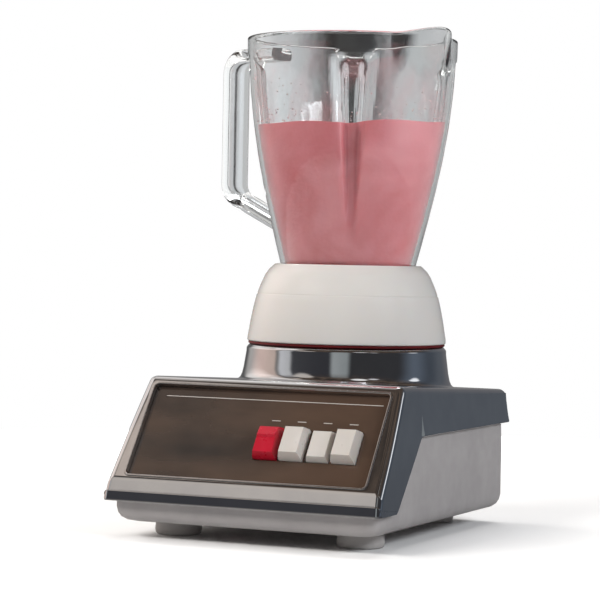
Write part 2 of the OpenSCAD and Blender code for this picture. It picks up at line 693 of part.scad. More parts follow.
module thread() {
    steps = 48;
    z0 = neck_z + 3;
    function section(i) = let (a = i * 360 * thread_turns / steps, z = z0 + a / 360 * thread_pitch,
        out = neck_r + thread_out * min(1, i / 4, (steps - i) / 4) - 0.05)
        [for (p = [[neck_r - 0.4, -1.2], [out, -0.4], [out, 0.4], [neck_r - 0.4, 1.2]])
            [p[0] * cos(a), p[0] * sin(a), z + p[1]]];
    polyhedron([for (i = [0:steps]) each section(i)], concat([[3, 2, 1, 0]],
        [for (i = [0:steps - 1], k = [0:3]) let (j = (k + 1) % 4)
            each [[i * 4 + k, i * 4 + j, i * 4 + 4 + k], [i * 4 + j, i * 4 + 4 + j, i * 4 + 4 + k]]],
        [[steps * 4, steps * 4 + 1, steps * 4 + 2, steps * 4 + 3]]));
}
module jar() {
    color([0.8, 0.9, 0.95, 0.5]) rotate(jar_turn) union() {
        jar_wall();
        handle();
        thread();
    }
}

lower_housing();
upper_housing();
control_plate();
panel_bezel();
off_button();
grate_button();
liquefy_button();
pulse_button();
switch_body();
circuit_breaker();
reset_button();
foot(-foot_x, foot_front_y);  // foot_front_left
foot(foot_x, foot_front_y);  // foot_front_right
foot(-foot_rear_x, foot_rear_y);  // foot_rear_left
foot(foot_rear_x, foot_rear_y);  // foot_rear_right
foot_screws();
housing_screws();
cord_gland();
seat_ring();
jar_locator();
locator_screws();
motor_stator();
field_coil(-1);  // field_coil_left
field_coil(1);  // field_coil_right
motor_shaft();
armature_core();
armature_windings();
commutator();
cooling_fan();
upper_bracket();
lower_bracket();
upper_bush();
lower_bush();
brush_holder(-1);  // brush_holder_left
brush_holder(1);  // brush_holder_right
carbon_brush(-1);  // carbon_brush_left
carbon_brush(1);  // carbon_brush_right
brush_spring(-1);  // brush_spring_left
brush_spring(1);  // brush_spring_right
motor_bolts();
motor_posts();
motor_grommets();
drive_coupling();
slinger_washer();
suppressor();
supply_leads();
collar();
seal_ring();
blade_base();
upper_spindle_bush();
lower_spindle_bush();
blade_shaft();
lower_blade();
upper_blade();
blade_washers();
cap_nut();
driven_coupling();
jar();
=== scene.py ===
import math

import bpy
import bmesh
from mathutils import Matrix, Vector


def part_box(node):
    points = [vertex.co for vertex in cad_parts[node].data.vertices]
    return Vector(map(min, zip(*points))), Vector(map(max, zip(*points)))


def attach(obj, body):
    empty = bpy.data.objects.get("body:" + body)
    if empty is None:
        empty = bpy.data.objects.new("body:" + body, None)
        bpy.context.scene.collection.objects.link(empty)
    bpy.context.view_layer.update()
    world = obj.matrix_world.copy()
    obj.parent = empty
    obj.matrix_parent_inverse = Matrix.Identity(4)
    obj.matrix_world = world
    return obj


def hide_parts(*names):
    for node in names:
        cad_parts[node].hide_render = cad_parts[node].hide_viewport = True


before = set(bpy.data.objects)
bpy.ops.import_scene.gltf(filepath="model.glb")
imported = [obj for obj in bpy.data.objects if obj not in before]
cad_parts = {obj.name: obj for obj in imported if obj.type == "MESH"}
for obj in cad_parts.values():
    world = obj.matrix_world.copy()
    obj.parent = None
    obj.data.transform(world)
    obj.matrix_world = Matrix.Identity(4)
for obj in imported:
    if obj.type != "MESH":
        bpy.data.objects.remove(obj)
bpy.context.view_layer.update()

mm = 0.001  # sizes below are in millimetres, meshes in metres
scene = bpy.context.scene
scene.view_settings.view_transform = "Standard"


# small makers

def smoothStep(x):
    t = max(0.0, min(1.0, x))
    return t * t * (3 - 2 * t)


def boxOf(node):
    low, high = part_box(node)
    return low / mm, high / mm


def addMesh(name, points, faces, mergeBy=0.002):
    mesh = bpy.data.meshes.new(name)
    mesh.from_pydata([Vector(p) * mm for p in points], [], faces)
    obj = bpy.data.objects.new(name, mesh)
    scene.collection.objects.link(obj)
    bm = bmesh.new()
    bm.from_mesh(mesh)
    bmesh.ops.remove_doubles(bm, verts=bm.verts, dist=mergeBy * mm)
    bmesh.ops.dissolve_degenerate(bm, edges=bm.edges, dist=mergeBy * mm)
    bmesh.ops.recalc_face_normals(bm, faces=bm.faces)
    bm.to_mesh(mesh)
    bm.free()
    return obj


def loft(name, rings, closed=False):
    # rings: lists of points of one length, joined one after the other
    around = len(rings[0])
    points = [p for ring in rings for p in ring]
    count = len(rings)
    faces = []
    for k in range(count if closed else count - 1):
        here, there = k * around, (k + 1) % count * around
        for i in range(around):
            j = (i + 1) % around
            faces.append((here + i, here + j, there + j, there + i))
    if not closed:
        faces.append(tuple(reversed(range(around))))
        faces.append(tuple(range((count - 1) * around, count * around)))
    return addMesh(name, points, faces)


def filleted(corners, steps=5):
    # corners: (x, y, radius) round a closed outline
    outline = []
    for i, (x, y, radius) in enumerate(corners):
        corner = Vector((x, y))
        before = Vector(corners[i - 1][:2]) - corner
        after = Vector(corners[(i + 1) % len(corners)][:2]) - corner
        angle = before.angle(after)
        if radius == 0 or angle > 3.1:
            outline.append((x, y))
            continue
        before.normalize()
        after.normalize()
        centre = corner + (before + after).normalized() * (radius / math.sin(angle / 2))
        start = corner + before * (radius / math.tan(angle / 2)) - centre
        turn = math.pi - angle
        if before.cross(after) > 0:
            turn = -turn
        for k in range(steps + 1):
            a = turn * k / steps
            outline.append((centre.x + start.x * math.cos(a) - start.y * math.sin(a),
                            centre.y + start.x * math.sin(a) + start.y * math.cos(a)))
    return outline


def lathe(name, outline, steps=128):
    # outline: closed (radius, height) points
    turns = (2 * math.pi * k / steps for k in range(steps))
    rings = [[(r * math.cos(a), r * math.sin(a), z) for r, z in outline] for a in turns]
    return loft(name, rings, closed=True)


def baked(obj):
    depsgraph = bpy.context.evaluated_depsgraph_get()
    mesh = bpy.data.meshes.new_from_object(obj.evaluated_get(depsgraph), depsgraph=depsgraph)
    obj.modifiers.clear()
    obj.data = mesh
    return obj


def dropped(obj):
    bpy.data.objects.remove(obj, do_unlink=True)


def combined(obj, others, operation="DIFFERENCE"):
    for other in others:
        step = obj.modifiers.new("cut", "BOOLEAN")
        step.operation = operation
        step.solver = "EXACT"
        step.object = other
        baked(obj)
        dropped(other)
    return obj


def joined(obj, others):
    bm = bmesh.new()
    bm.from_mesh(obj.data)
    for other in others:
        bm.from_mesh(other.data)
        dropped(other)
    bm.to_mesh(obj.data)
    bm.free()
    return obj


def softened(obj, width, segments=3, limit=30):
    bm = bmesh.new()
    bm.from_mesh(obj.data)
    bmesh.ops.dissolve_limit(bm, angle_limit=math.radians(0.5), verts=bm.verts, edges=bm.edges)
    bm.to_mesh(obj.data)
    bm.free()
    bevel = obj.modifiers.new("soft edges", "BEVEL")
    bevel.width = width * mm
    bevel.segments = segments
    bevel.limit_method = "ANGLE"
    bevel.angle_limit = math.radians(limit)
    bevel.use_clamp_overlap = True
    return baked(obj)


def shaded(obj, sharpAngle=40, weighted=True):
    mesh = obj.data
    mesh.polygons.foreach_set("use_smooth", [True] * len(mesh.polygons))
    bm = bmesh.new()
    bm.from_mesh(mesh)
    for edge in bm.edges:
        edge.smooth = len(edge.link_faces) == 2 and edge.calc_face_angle(0) < math.radians(sharpAngle)
    bm.to_mesh(mesh)
    bm.free()
    if weighted:
        weigh = obj.modifiers.new("flat faces stay flat", "WEIGHTED_NORMAL")
        weigh.keep_sharp = True
        weigh.weight = 80
        baked(obj)
    return obj


def copyOfNode(node, name):
    obj = bpy.data.objects.new(name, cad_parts[node].data.copy())
    obj.data.materials.clear()
    scene.collection.objects.link(obj)
    bm = bmesh.new()
    bm.from_mesh(obj.data)
    bmesh.ops.remove_doubles(bm, verts=bm.verts, dist=0.004 * mm)
    bm.to_mesh(obj.data)
    bm.free()
    return obj


def placed(obj, material, body, nodes=()):
    if material:
        obj.data.materials.clear()
        obj.data.materials.append(material)
    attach(obj, body)
    if nodes:
        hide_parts(*nodes)
    return obj


def makeTree(name, inputs):
    tree = bpy.data.node_groups.new(name, "GeometryNodeTree")
    tree.interface.new_socket("Geometry", in_out="INPUT", socket_type="NodeSocketGeometry")
    for label, kind, value in inputs:
        socket = tree.interface.new_socket(label, in_out="INPUT", socket_type=kind)
        if value is not None:
            socket.default_value = value
    tree.interface.new_socket("Geometry", in_out="OUTPUT", socket_type="NodeSocketGeometry")
    return tree, tree.nodes.new("NodeGroupInput"), tree.nodes.new("NodeGroupOutput")


def useTree(obj, tree, values):
    grow = obj.modifiers.new(tree.name, "NODES")
    grow.node_group = tree
    for item in tree.interface.items_tree:
        if item.item_type == "SOCKET" and item.in_out == "INPUT" and item.name in values:
            grow[item.identifier] = values[item.name]
    return baked(obj)


def mathNode(tree, operation, a, b=None):
    node = tree.nodes.new("ShaderNodeMath")
    node.operation = operation
    for socket, value in zip(node.inputs, (a, b)):
        if value is None:
            continue
        if isinstance(value, (int, float)):
            socket.default_value = value
        else:
            tree.links.new(value, socket)
    return node.outputs[0]


def rangeNode(tree, value, low, high, start=0.0, end=1.0, smooth=False):
    node = tree.nodes.new("ShaderNodeMapRange")
    if smooth:
        node.interpolation_type = "SMOOTHSTEP"
    for socket, number in (("From Min", low), ("From Max", high), ("To Min", start), ("To Max", end)):
        node.inputs[socket].default_value = number
    tree.links.new(value, node.inputs["Value"])
    return node.outputs[0]


def noiseNode(tree, vector, scale, detail=2.0, distortion=0.0):
    node = tree.nodes.new("ShaderNodeTexNoise")
    for socket, number in (("Scale", scale), ("Detail", detail), ("Distortion", distortion)):
        node.inputs[socket].default_value = number
    tree.links.new(vector, node.inputs["Vector"])
    return node.outputs["Fac"]


def mixNode(tree, first, second, factor, blend="MIX"):
    node = tree.nodes.new("ShaderNodeMix")
    node.data_type = "RGBA"
    node.blend_type = blend
    for socket, value in (("A", first), ("B", second), ("Factor", factor)):
        if isinstance(value, (tuple, float)):
            node.inputs[socket].default_value = value
        else:
            tree.links.new(value, node.inputs[socket])
    return node.outputs["Result"]


def bumpNode(tree, height, strength, distance):
    node = tree.nodes.new("ShaderNodeBump")
    node.inputs["Strength"].default_value = strength
    node.inputs["Distance"].default_value = distance * mm
    tree.links.new(height, node.inputs["Height"])
    return node.outputs[0]


def stretchedPlace(tree, place, stretch):
    node = tree.nodes.new("ShaderNodeMapping")
    node.inputs["Scale"].default_value = stretch
    tree.links.new(place, node.inputs["Vector"])
    return node.outputs[0]


def newMaterial(name):
    material = bpy.data.materials.new(name)
    material.use_nodes = True
    tree = material.node_tree
    place = tree.nodes.new("ShaderNodeTexCoord").outputs["Object"]
    return material, tree, tree.nodes["Principled BSDF"].inputs, place


def directionOf(azimuth, elevation):
    # degrees from -Y round the upright, and above the horizon
    a, e = math.radians(azimuth), math.radians(elevation)
    return Vector((math.sin(a) * math.cos(e), -math.cos(a) * math.cos(e), math.sin(e)))


def ringOfCopies():
    # turns copies of one piece round the drive axis
    tree, start, end = makeTree("ring of copies", [
        ("Copies", "NodeSocketInt", 8), ("First Angle", "NodeSocketFloat", 0.0),
        ("Material", "NodeSocketMaterial", None)])
    nodes, links = tree.nodes, tree.links
    line = nodes.new("GeometryNodeMeshLine")
    line.inputs["Offset"].default_value = (0, 0, 0)
    links.new(start.outputs["Copies"], line.inputs["Count"])
    index = nodes.new("GeometryNodeInputIndex")
    share = mathNode(tree, "DIVIDE", index.outputs[0], start.outputs["Copies"])
    turn = mathNode(tree, "MULTIPLY", share, 2 * math.pi)
    turn = mathNode(tree, "ADD", turn, start.outputs["First Angle"])
    spin = nodes.new("ShaderNodeCombineXYZ")
    links.new(turn, spin.inputs["Z"])
    copies = nodes.new("GeometryNodeInstanceOnPoints")
    links.new(line.outputs["Mesh"], copies.inputs["Points"])
    links.new(start.outputs["Geometry"], copies.inputs["Instance"])
    links.new(spin.outputs[0], copies.inputs["Rotation"])
    real = nodes.new("GeometryNodeRealizeInstances")
    links.new(copies.outputs[0], real.inputs[0])
    paint = nodes.new("GeometryNodeSetMaterial")
    links.new(real.outputs[0], paint.inputs["Geometry"])
    links.new(start.outputs["Material"], paint.inputs["Material"])
    links.new(paint.outputs[0], end.inputs[0])
    return tree


# finishes

def makeFinish(name, look):
    # colour drifts between two tones, roughness varies, and a fine grain lifts the surface; on the control
    # plate the brown second tone is a painted reflection
    material, tree, shader, place = newMaterial(name)
    links = tree.links

    def noise(size, detail, stretch=(1, 1, 1)):
        return noiseNode(tree, stretchedPlace(tree, place, stretch), 1 / (size * mm), detail)

    drift = noise(look.get("patch", 18), 4, look.get("stretch", (1, 1, 1)))
    tones = mixNode(tree, (*look["colour"], 1.0), (*look["second"], 1.0), rangeNode(tree, drift, 0.35, 0.65))
    links.new(tones, shader["Base Color"])
    smudges = noise(look.get("smudge", 9), 5)
    links.new(rangeNode(tree, smudges, 0.3, 0.7, *look["roughness"]), shader["Roughness"])
    size, height = look["grain"]
    grain = noise(size, 2, look.get("grainStretch", (1, 1, 1)))
    links.new(bumpNode(tree, grain, 0.6, height), shader["Normal"])
    for socket, value in look.get("sockets", {}).items():
        shader[socket].default_value = value
    return material


looks = {
    "chrome": dict(colour=(0.82, 0.83, 0.85), second=(0.76, 0.77, 0.80), roughness=(0.035, 0.11),
                   smudge=22, grain=(26, 0.02), sockets={"Metallic": 1.0}),
    # the plate is glossy black; its brown second tone, in broad stretched patches, is a painted reflection
    # of a warm room, not the plate's own colour
    "plateBlackPaintedReflection": dict(colour=(0.014, 0.011, 0.010), second=(0.070, 0.043, 0.030), patch=48,
                       stretch=(0.35, 1, 1), roughness=(0.10, 0.20), grain=(1.2, 0.004),
                       sockets={"Coat Weight": 0.6, "Coat Roughness": 0.06}),
    "bezelChrome": dict(colour=(0.86, 0.86, 0.87), second=(0.78, 0.78, 0.80), roughness=(0.10, 0.2),
                        grain=(2, 0.004), sockets={"Metallic": 1.0}),
    "housingGrey": dict(colour=(0.325, 0.308, 0.308), second=(0.296, 0.280, 0.280), roughness=(0.38, 0.52),
                        grain=(0.7, 0.03), sockets={"Specular IOR Level": 0.4}),
    "footRubber": dict(colour=(0.42, 0.40, 0.39), second=(0.36, 0.34, 0.33), roughness=(0.6, 0.8),
                       grain=(0.9, 0.05)),
    "keyRed": dict(colour=(0.40, 0.003, 0.020), second=(0.36, 0.002, 0.016), roughness=(0.22, 0.34),
                   grain=(0.8, 0.008), sockets={"Coat Weight": 0.35, "Subsurface Weight": 0.05}),
    "keyWhite": dict(colour=(0.50, 0.465, 0.44), second=(0.46, 0.43, 0.40), roughness=(0.26, 0.4),
                     grain=(0.8, 0.008), sockets={"Coat Weight": 0.25, "Subsurface Weight": 0.05}),
    "collarWhite": dict(colour=(0.58, 0.540, 0.520), second=(0.572, 0.530, 0.508), patch=40,
                        roughness=(0.20, 0.26), smudge=30, grain=(1.4, 0.006),
                        sockets={"Coat Weight": 0.3, "Coat Roughness": 0.12, "Subsurface Weight": 0.08}),
    "seatRed": dict(colour=(0.12, 0.006, 0.008), second=(0.09, 0.004, 0.006), roughness=(0.45, 0.6),
                    grain=(0.8, 0.02)),
    "blackMoulding": dict(colour=(0.018, 0.018, 0.019), second=(0.026, 0.026, 0.027),
                          roughness=(0.4, 0.55), grain=(0.6, 0.02)),
    "blackRubber": dict(colour=(0.014, 0.014, 0.014), second=(0.022, 0.022, 0.021),
                        roughness=(0.6, 0.8), grain=(0.5, 0.02)),
    "platedSteel": dict(colour=(0.62, 0.61, 0.58), second=(0.52, 0.51, 0.50), roughness=(0.22, 0.36),
                        grain=(0.5, 0.008), sockets={"Metallic": 1.0}),
    "bladeSteel": dict(colour=(0.66, 0.66, 0.66), second=(0.60, 0.60, 0.61), roughness=(0.18, 0.30),
                       grain=(0.4, 0.01), grainStretch=(1, 8, 1), sockets={"Metallic": 1.0}),
    "groundSteel": dict(colour=(0.56, 0.56, 0.57), second=(0.48, 0.48, 0.50), roughness=(0.20, 0.32),
                        grain=(0.3, 0.006), grainStretch=(1, 1, 6), sockets={"Metallic": 1.0}),
    "laminations": dict(colour=(0.20, 0.20, 0.215), second=(0.13, 0.13, 0.14), patch=0.5,
                        stretch=(0.02, 0.02, 1), roughness=(0.4, 0.6), grain=(0.5, 0.06),
                        grainStretch=(0.02, 0.02, 1), sockets={"Metallic": 0.9}),
    "copperWire": dict(colour=(0.60, 0.24, 0.10), second=(0.42, 0.14, 0.05), patch=1.0,
                       stretch=(0.15, 1, 1), roughness=(0.25, 0.42), grain=(0.8, 0.12),
                       grainStretch=(0.1, 1, 1), sockets={"Metallic": 0.9}),
    "fanNylon": dict(colour=(0.70, 0.69, 0.64), second=(0.63, 0.62, 0.57), roughness=(0.35, 0.5),
                     grain=(0.8, 0.02), sockets={"Subsurface Weight": 0.1}),
    "dieCast": dict(colour=(0.46, 0.46, 0.47), second=(0.36, 0.36, 0.37), roughness=(0.38, 0.55),
                    grain=(0.9, 0.05), sockets={"Metallic": 1.0}),
    "bronze": dict(colour=(0.50, 0.30, 0.12), second=(0.36, 0.20, 0.08), patch=1.5,
                   roughness=(0.4, 0.6), grain=(0.3, 0.03), sockets={"Metallic": 1.0}),
    "carbon": dict(colour=(0.02, 0.02, 0.022), second=(0.035, 0.035, 0.036), patch=1,
                   roughness=(0.5, 0.7), grain=(0.3, 0.02)),
    "couplingRubber": dict(colour=(0.022, 0.021, 0.020), second=(0.034, 0.032, 0.030),
                           roughness=(0.5, 0.7), grain=(0.6, 0.03)),
    "capacitorBlue": dict(colour=(0.02, 0.06, 0.28), second=(0.015, 0.045, 0.22), roughness=(0.3, 0.4),
                          grain=(0.9, 0.01)),
    "leadSleeve": dict(colour=(0.13, 0.05, 0.02), second=(0.10, 0.035, 0.015), roughness=(0.4, 0.55),
                       grain=(0.8, 0.02)),
}
finishes = {name: makeFinish(name, look) for name, look in looks.items()}


def makeGlass():
    material, tree, shader, place = newMaterial("jarGlass")
    shader["Base Color"].default_value = (0.93, 0.95, 0.95, 1)
    shader["Transmission Weight"].default_value = 1.0
    shader["IOR"].default_value = 1.5
    haze = noiseNode(tree, place, 1 / (35 * mm))
    ripple = noiseNode(tree, place, 1 / (16 * mm))
    tree.links.new(rangeNode(tree, haze, 0, 1, 0.0, 0.035), shader["Roughness"])
    tree.links.new(bumpNode(tree, ripple, 0.5, 0.15), shader["Normal"])
    return material


def makeSmoothie(name, clear=False):
    # strawberry tones drift, and patches of pale bubbles pit it
    material, tree, shader, place = newMaterial(name)
    nodes, links = tree.nodes, tree.links
    drift = noiseNode(tree, place, 1 / (42 * mm), 5, 0.8)
    tones = nodes.new("ShaderNodeValToRGB")
    stops = ((0.34, (0.64, 0.145, 0.165, 1)), (0.66, (0.78, 0.270, 0.300, 1)))
    for element, (position, colour) in zip(tones.color_ramp.elements, stops):
        element.position, element.color = position, colour
    links.new(drift, tones.inputs["Fac"])
    specks = nodes.new("ShaderNodeTexVoronoi")
    specks.inputs["Scale"].default_value = 1 / (2.6 * mm)
    links.new(place, specks.inputs["Vector"])
    bubbles = specks.outputs["Distance"]
    dots = rangeNode(tree, bubbles, 0.08, 0.2, 0.75, 0.0)
    rare = rangeNode(tree, noiseNode(tree, place, 1 / (9 * mm)), 0.58, 0.72)
    flecks = mathNode(tree, "MULTIPLY", dots, rare)
    links.new(mixNode(tree, tones.outputs["Color"], (0.80, 0.50, 0.50, 1), flecks), shader["Base Color"])
    shader["Subsurface Weight"].default_value = 0.25
    shader["Subsurface Scale"].default_value = 4 * mm
    shader["Subsurface Radius"].default_value = (1.0, 0.35, 0.3)
    links.new(bumpNode(tree, bubbles, 0.4, 0.2), shader["Normal"])
    links.new(rangeNode(tree, drift, 0, 1, 0.28, 0.5), shader["Roughness"])
    if clear:
        # a thin wash left on the glass in patches, thicker near the level
        cover = noiseNode(tree, stretchedPlace(tree, place, (1, 1, 0.45)), 1 / (16 * mm), 8)
        height = nodes.new("ShaderNodeSeparateXYZ")
        links.new(place, height.inputs[0])
        fade = rangeNode(tree, height.outputs["Z"], 252 * mm, 300 * mm, 0.16, 0.06)
        links.new(mathNode(tree, "MULTIPLY", fade, rangeNode(tree, cover, 0.45, 0.75)), shader["Alpha"])
    return material


finishes["jarGlass"] = makeGlass()
finishes["smoothie"] = makeSmoothie("smoothie")
finishes["wash"] = makeSmoothie("wash", clear=True)
finishes["froth"] = makeFinish("froth", dict(
    colour=(0.86, 0.72, 0.70), second=(0.80, 0.58, 0.58), patch=6, roughness=(0.12, 0.25), grain=(0.5, 0.01),
    sockets={"Subsurface Weight": 0.2, "Transmission Weight": 0.3}))
print("finishes made")

nodeFinishes = {
    "blackMoulding": ["switch_body", "circuit_breaker", "brush_holder_left", "brush_holder_right",
                      "jar_locator"],
    "keyRed": ["reset_button"],
    "platedSteel": ["foot_screws", "housing_screws", "locator_screws", "brush_spring_left",
                    "brush_spring_right", "motor_bolts", "motor_posts"],
    "laminations": ["motor_stator", "armature_core"],
    "copperWire": ["field_coil_left", "field_coil_right", "armature_windings", "commutator"],
    "groundSteel": ["motor_shaft"],
    "dieCast": ["upper_bracket", "lower_bracket"],
    "bronze": ["upper_bush", "lower_bush", "upper_spindle_bush", "lower_spindle_bush"],
    "carbon": ["carbon_brush_left", "carbon_brush_right"],
    "blackRubber": ["motor_grommets", "slinger_washer", "seal_ring"],
    "capacitorBlue": ["suppressor"],
    "leadSleeve": ["supply_leads"],
    "bladeSteel": ["blade_shaft"],
    "fanNylon": ["blade_washers"],
    "plateBlackPaintedReflection": ["control_plate"],
}
for finish, nodeNames in nodeFinishes.items():
    for nodeName in nodeNames:
        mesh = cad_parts[nodeName].data
        mesh.materials.clear()
        mesh.materials.append(finishes[finish])


# camera and light

viewpoint = dict(lens=144, sensor=36, place=(0.5925, -1.3849, 0.1701), azimuth=23.84, elevation=2.31,
                 roll=1.18, shiftX=-0.03, shiftY=0.08)


def makeCamera():
    data = bpy.data.cameras.new("camera")
    data.lens = viewpoint["lens"]
    data.sensor_width = viewpoint["sensor"]
    data.shift_x = viewpoint["shiftX"]
    data.shift_y = viewpoint["shiftY"]
    data.clip_start = 0.05
    data.clip_end = 60
    a, roll = math.radians(viewpoint["azimuth"]), math.radians(viewpoint["roll"])
    back = directionOf(viewpoint["azimuth"], viewpoint["elevation"])
    right = Vector((math.cos(a), math.sin(a), 0))
    up = back.cross(right)
    x = right * math.cos(roll) + up * math.sin(roll)
    y = up * math.cos(roll) - right * math.sin(roll)
    turn = Matrix((x, y, back)).transposed().to_4x4()
    camera = bpy.data.objects.new("camera", data)
    camera.matrix_world = Matrix.Translation(viewpoint["place"]) @ turn
    scene.collection.objects.link(camera)
    scene.camera = camera


makeCamera()

studio = dict(
    lamps=[  # name, azimuth, elevation, distance, width, height, power, colour
        ("key", -30, 38, 1.8, 1.0, 0.45, 26, (1.0, 0.975, 0.94)),
        ("fill", 74, 28, 1.9, 0.8, 0.6, 22, (0.94, 0.97, 1.0)),
        ("top", 175, 66, 1.7, 1.2, 0.9, 16, (1.0, 1.0, 1.0)),
        ("left", -100, 30, 1.9, 0.7, 0.8, 12, (1.0, 0.98, 0.95)),
    ],
    # bands of the room round the horizon: turn from -Y in degrees, and colour
    room=[(-180, (0.13, 0.13, 0.14)), (-156, (0.24, 0.235, 0.235)), (-136, (0.10, 0.10, 0.10)),
          (-118, (0.42, 0.40, 0.38)), (-92, (0.66, 0.50, 0.44)), (-68, (0.56, 0.44, 0.38)),
          (-63, (0.20, 0.19, 0.18)), (-57, (0.56, 0.56, 0.57)), (-46, (0.50, 0.50, 0.50)),
          (-41, (0.05, 0.05, 0.055)), (3, (0.035, 0.035, 0.04)), (9, (0.30, 0.32, 0.32)),
          (23, (0.26, 0.28, 0.28)), (30, (0.035, 0.035, 0.037)), (84, (0.035, 0.035, 0.038)),
          (108, (0.10, 0.12, 0.15)), (134, (0.06, 0.07, 0.085)), (158, (0.09, 0.10, 0.115)),
          (180, (0.13, 0.13, 0.14))],
    # soft windows: azimuth, elevation, radius and soft edge in degrees, colour
    windows=[(-54, 53.5, 2.4, 3, (0.50, 0.43, 0.38)), (-88, 50, 8, 5, (0.40, 0.39, 0.38)),
             (-108, 40, 22, 14, (0.42, 0.40, 0.38)), (-31, 37, 7, 6, (0.46, 0.42, 0.38)),
             (-150, 62, 12, 8, (0.36, 0.36, 0.36)), (44, 50, 5, 4, (0.8, 0.8, 0.8)),
             (112, 26, 4, 4, (0.9, 0.9, 0.9)), (60, 40, 3, 3, (0.7, 0.7, 0.72))],
    overhead=((0.030, 0.026, 0.024), (0.118, 0.086, 0.066)),
    # a surround met only by rays that have passed through glass, in the same measure as the room
    behind=[(-180, (0.50, 0.50, 0.50)), (-162, (0.50, 0.50, 0.51)), (-158.9, (0.50, 0.51, 0.52)),
            (-158.1, (0.05, 0.05, 0.053)), (-157.0, (0.02, 0.02, 0.021)), (-156.0, (0.03, 0.027, 0.025)),
            (-155.3, (0.09, 0.075, 0.063)), (-154.6, (0.50, 0.50, 0.51)), (-151, (0.75, 0.77, 0.79)),
            (-140, (0.55, 0.55, 0.55)), (-60, (0.60, 0.59, 0.58)), (0, (0.42, 0.41, 0.41)),
            (45, (0.60, 0.59, 0.60)), (95, (2.1, 2.05, 2.1)), (140, (1.0, 1.0, 1.0)),
            (180, (0.50, 0.50, 0.50))],
    # the same below the horizon
    below=[(-180, (0.10, 0.10, 0.10)), (-130, (0.30, 0.29, 0.28)), (-90, (0.42, 0.40, 0.38)),
           (-50, (0.16, 0.15, 0.14)), (20, (0.17, 0.165, 0.16)), (70, (0.12, 0.12, 0.12)),
           (110, (0.07, 0.07, 0.075)), (160, (0.05, 0.05, 0.055)), (180, (0.10, 0.10, 0.10))],
    floorTone=0.9, floorRadius=760,
)


def makeStudio():
    for name, azimuth, elevation, distance, width, height, power, colour in studio["lamps"]:
        data = bpy.data.lights.new(name, "AREA")
        data.shape = "RECTANGLE"
        data.size, data.size_y = width, height
        data.energy = power
        data.color = colour
        lamp = bpy.data.objects.new(name, data)
        lamp.visible_glossy = False
        aim = directionOf(azimuth, elevation)
        lamp.location = aim * distance + Vector((0, 0, 0.12))
        lamp.rotation_euler = aim.to_track_quat("Z", "Y").to_euler()
        scene.collection.objects.link(lamp)

    world = bpy.data.worlds.new("studio")
    scene.world = world
    world.use_nodes = True
    tree = world.node_tree
    nodes, links = tree.nodes, tree.links
    direction = nodes.new("ShaderNodeTexCoord").outputs["Generated"]
    split = nodes.new("ShaderNodeSeparateXYZ")
    links.new(direction, split.inputs[0])
    backwards = mathNode(tree, "MULTIPLY", split.outputs["Y"], -1.0)
    share = rangeNode(tree, mathNode(tree, "ARCTAN2", split.outputs["X"], backwards), -math.pi, math.pi)

    def roundTheRoom(stops):
        bands = nodes.new("ShaderNodeValToRGB")
        ramp = bands.color_ramp
        ramp.interpolation = "EASE"
        while len(ramp.elements) < len(stops):
            ramp.elements.new(0.5)
        for element, (degrees, colour) in zip(ramp.elements, stops):
            element.position = (degrees + 180) / 360
            element.color = (*colour, 1)
        links.new(share, bands.inputs["Fac"])
        return bands.outputs["Color"]

    # a dark warm ceiling in two mottled tones, and the tones below the horizon
    patches = rangeNode(tree, noiseNode(tree, direction, 9, 4, 1.2), 0.40, 0.62)
    dark, warm = studio["overhead"]
    ceiling = mixNode(tree, (*dark, 1.0), (*warm, 1.0), patches)
    over = rangeNode(tree, split.outputs["Z"], 0.45, 0.75)
    light = mixNode(tree, roundTheRoom(studio["room"]), ceiling, over)
    under = rangeNode(tree, split.outputs["Z"], 0.0, -0.2, smooth=True)
    light = mixNode(tree, light, roundTheRoom(studio["below"]), under)
    for azimuth, elevation, radius, edge, colour in studio["windows"]:
        toward = nodes.new("ShaderNodeVectorMath")
        toward.operation = "DOT_PRODUCT"
        toward.inputs[1].default_value = directionOf(azimuth, elevation)
        links.new(direction, toward.inputs[0])
        rim, core = math.cos(math.radians(radius + edge)), math.cos(math.radians(radius))
        disc = rangeNode(tree, toward.outputs["Value"], rim, core, smooth=True)
        light = mixNode(tree, light, (*colour, 1.0), disc, "ADD")
    seen = nodes.new("ShaderNodeLightPath")
    light = mixNode(tree, light, roundTheRoom(studio["behind"]), seen.outputs["Is Transmission Ray"])
    light = mixNode(tree, light, (1.0, 1.0, 1.0, 1.0), seen.outputs["Is Camera Ray"])
    links.new(light, nodes["Background"].inputs["Color"])


def makeFloor():
    sides, radius, tone = 96, studio["floorRadius"], studio["floorTone"]
    turns = (2 * math.pi * k / sides for k in range(sides))
    floor = addMesh("floor", [(radius * math.cos(a), radius * math.sin(a), -0.2) for a in turns],
                    [tuple(range(sides))])
    material, tree, shader, place = newMaterial("paleFloor")
    links = tree.links
    mottle = noiseNode(tree, place, 3)
    links.new(rangeNode(tree, mottle, 0, 1, tone - 0.01, tone + 0.01), shader["Base Color"])
    # towards its edge the floor glows white to the camera, so it runs out into the backdrop
    spread = tree.nodes.new("ShaderNodeVectorMath")
    spread.operation = "LENGTH"
    links.new(place, spread.inputs[0])
    fade = rangeNode(tree, spread.outputs["Value"], 0.25, 0.7, smooth=True)
    seen = tree.nodes.new("ShaderNodeLightPath")
    links.new(mathNode(tree, "MULTIPLY", fade, seen.outputs["Is Camera Ray"]), shader["Emission Strength"])
    shader["Emission Color"].default_value = (1, 1, 1, 1)
    shader["Roughness"].default_value = 0.6
    floor.data.materials.append(material)
    floor.visible_glossy = False


makeStudio()
makeFloor()
print("camera and studio set")


# motor base

shellLow, shellHigh = boxOf("upper_housing")
base = dict(half=88, front=-154, rear=69, bottom=shellLow[2], strip=28.3, crest=93.5, crestY=-107.5,
            rearDeck=84.5, skirt=63.5, skirtFront=-87, legRear=-127, lean=0.05, curveFrom=40, curveIn=1.925,
            sheet=1.4, seat=shellHigh[2], turret=62.6)
slopeAngle = math.atan2(base["crest"] - base["strip"], base["crestY"] - base["front"])


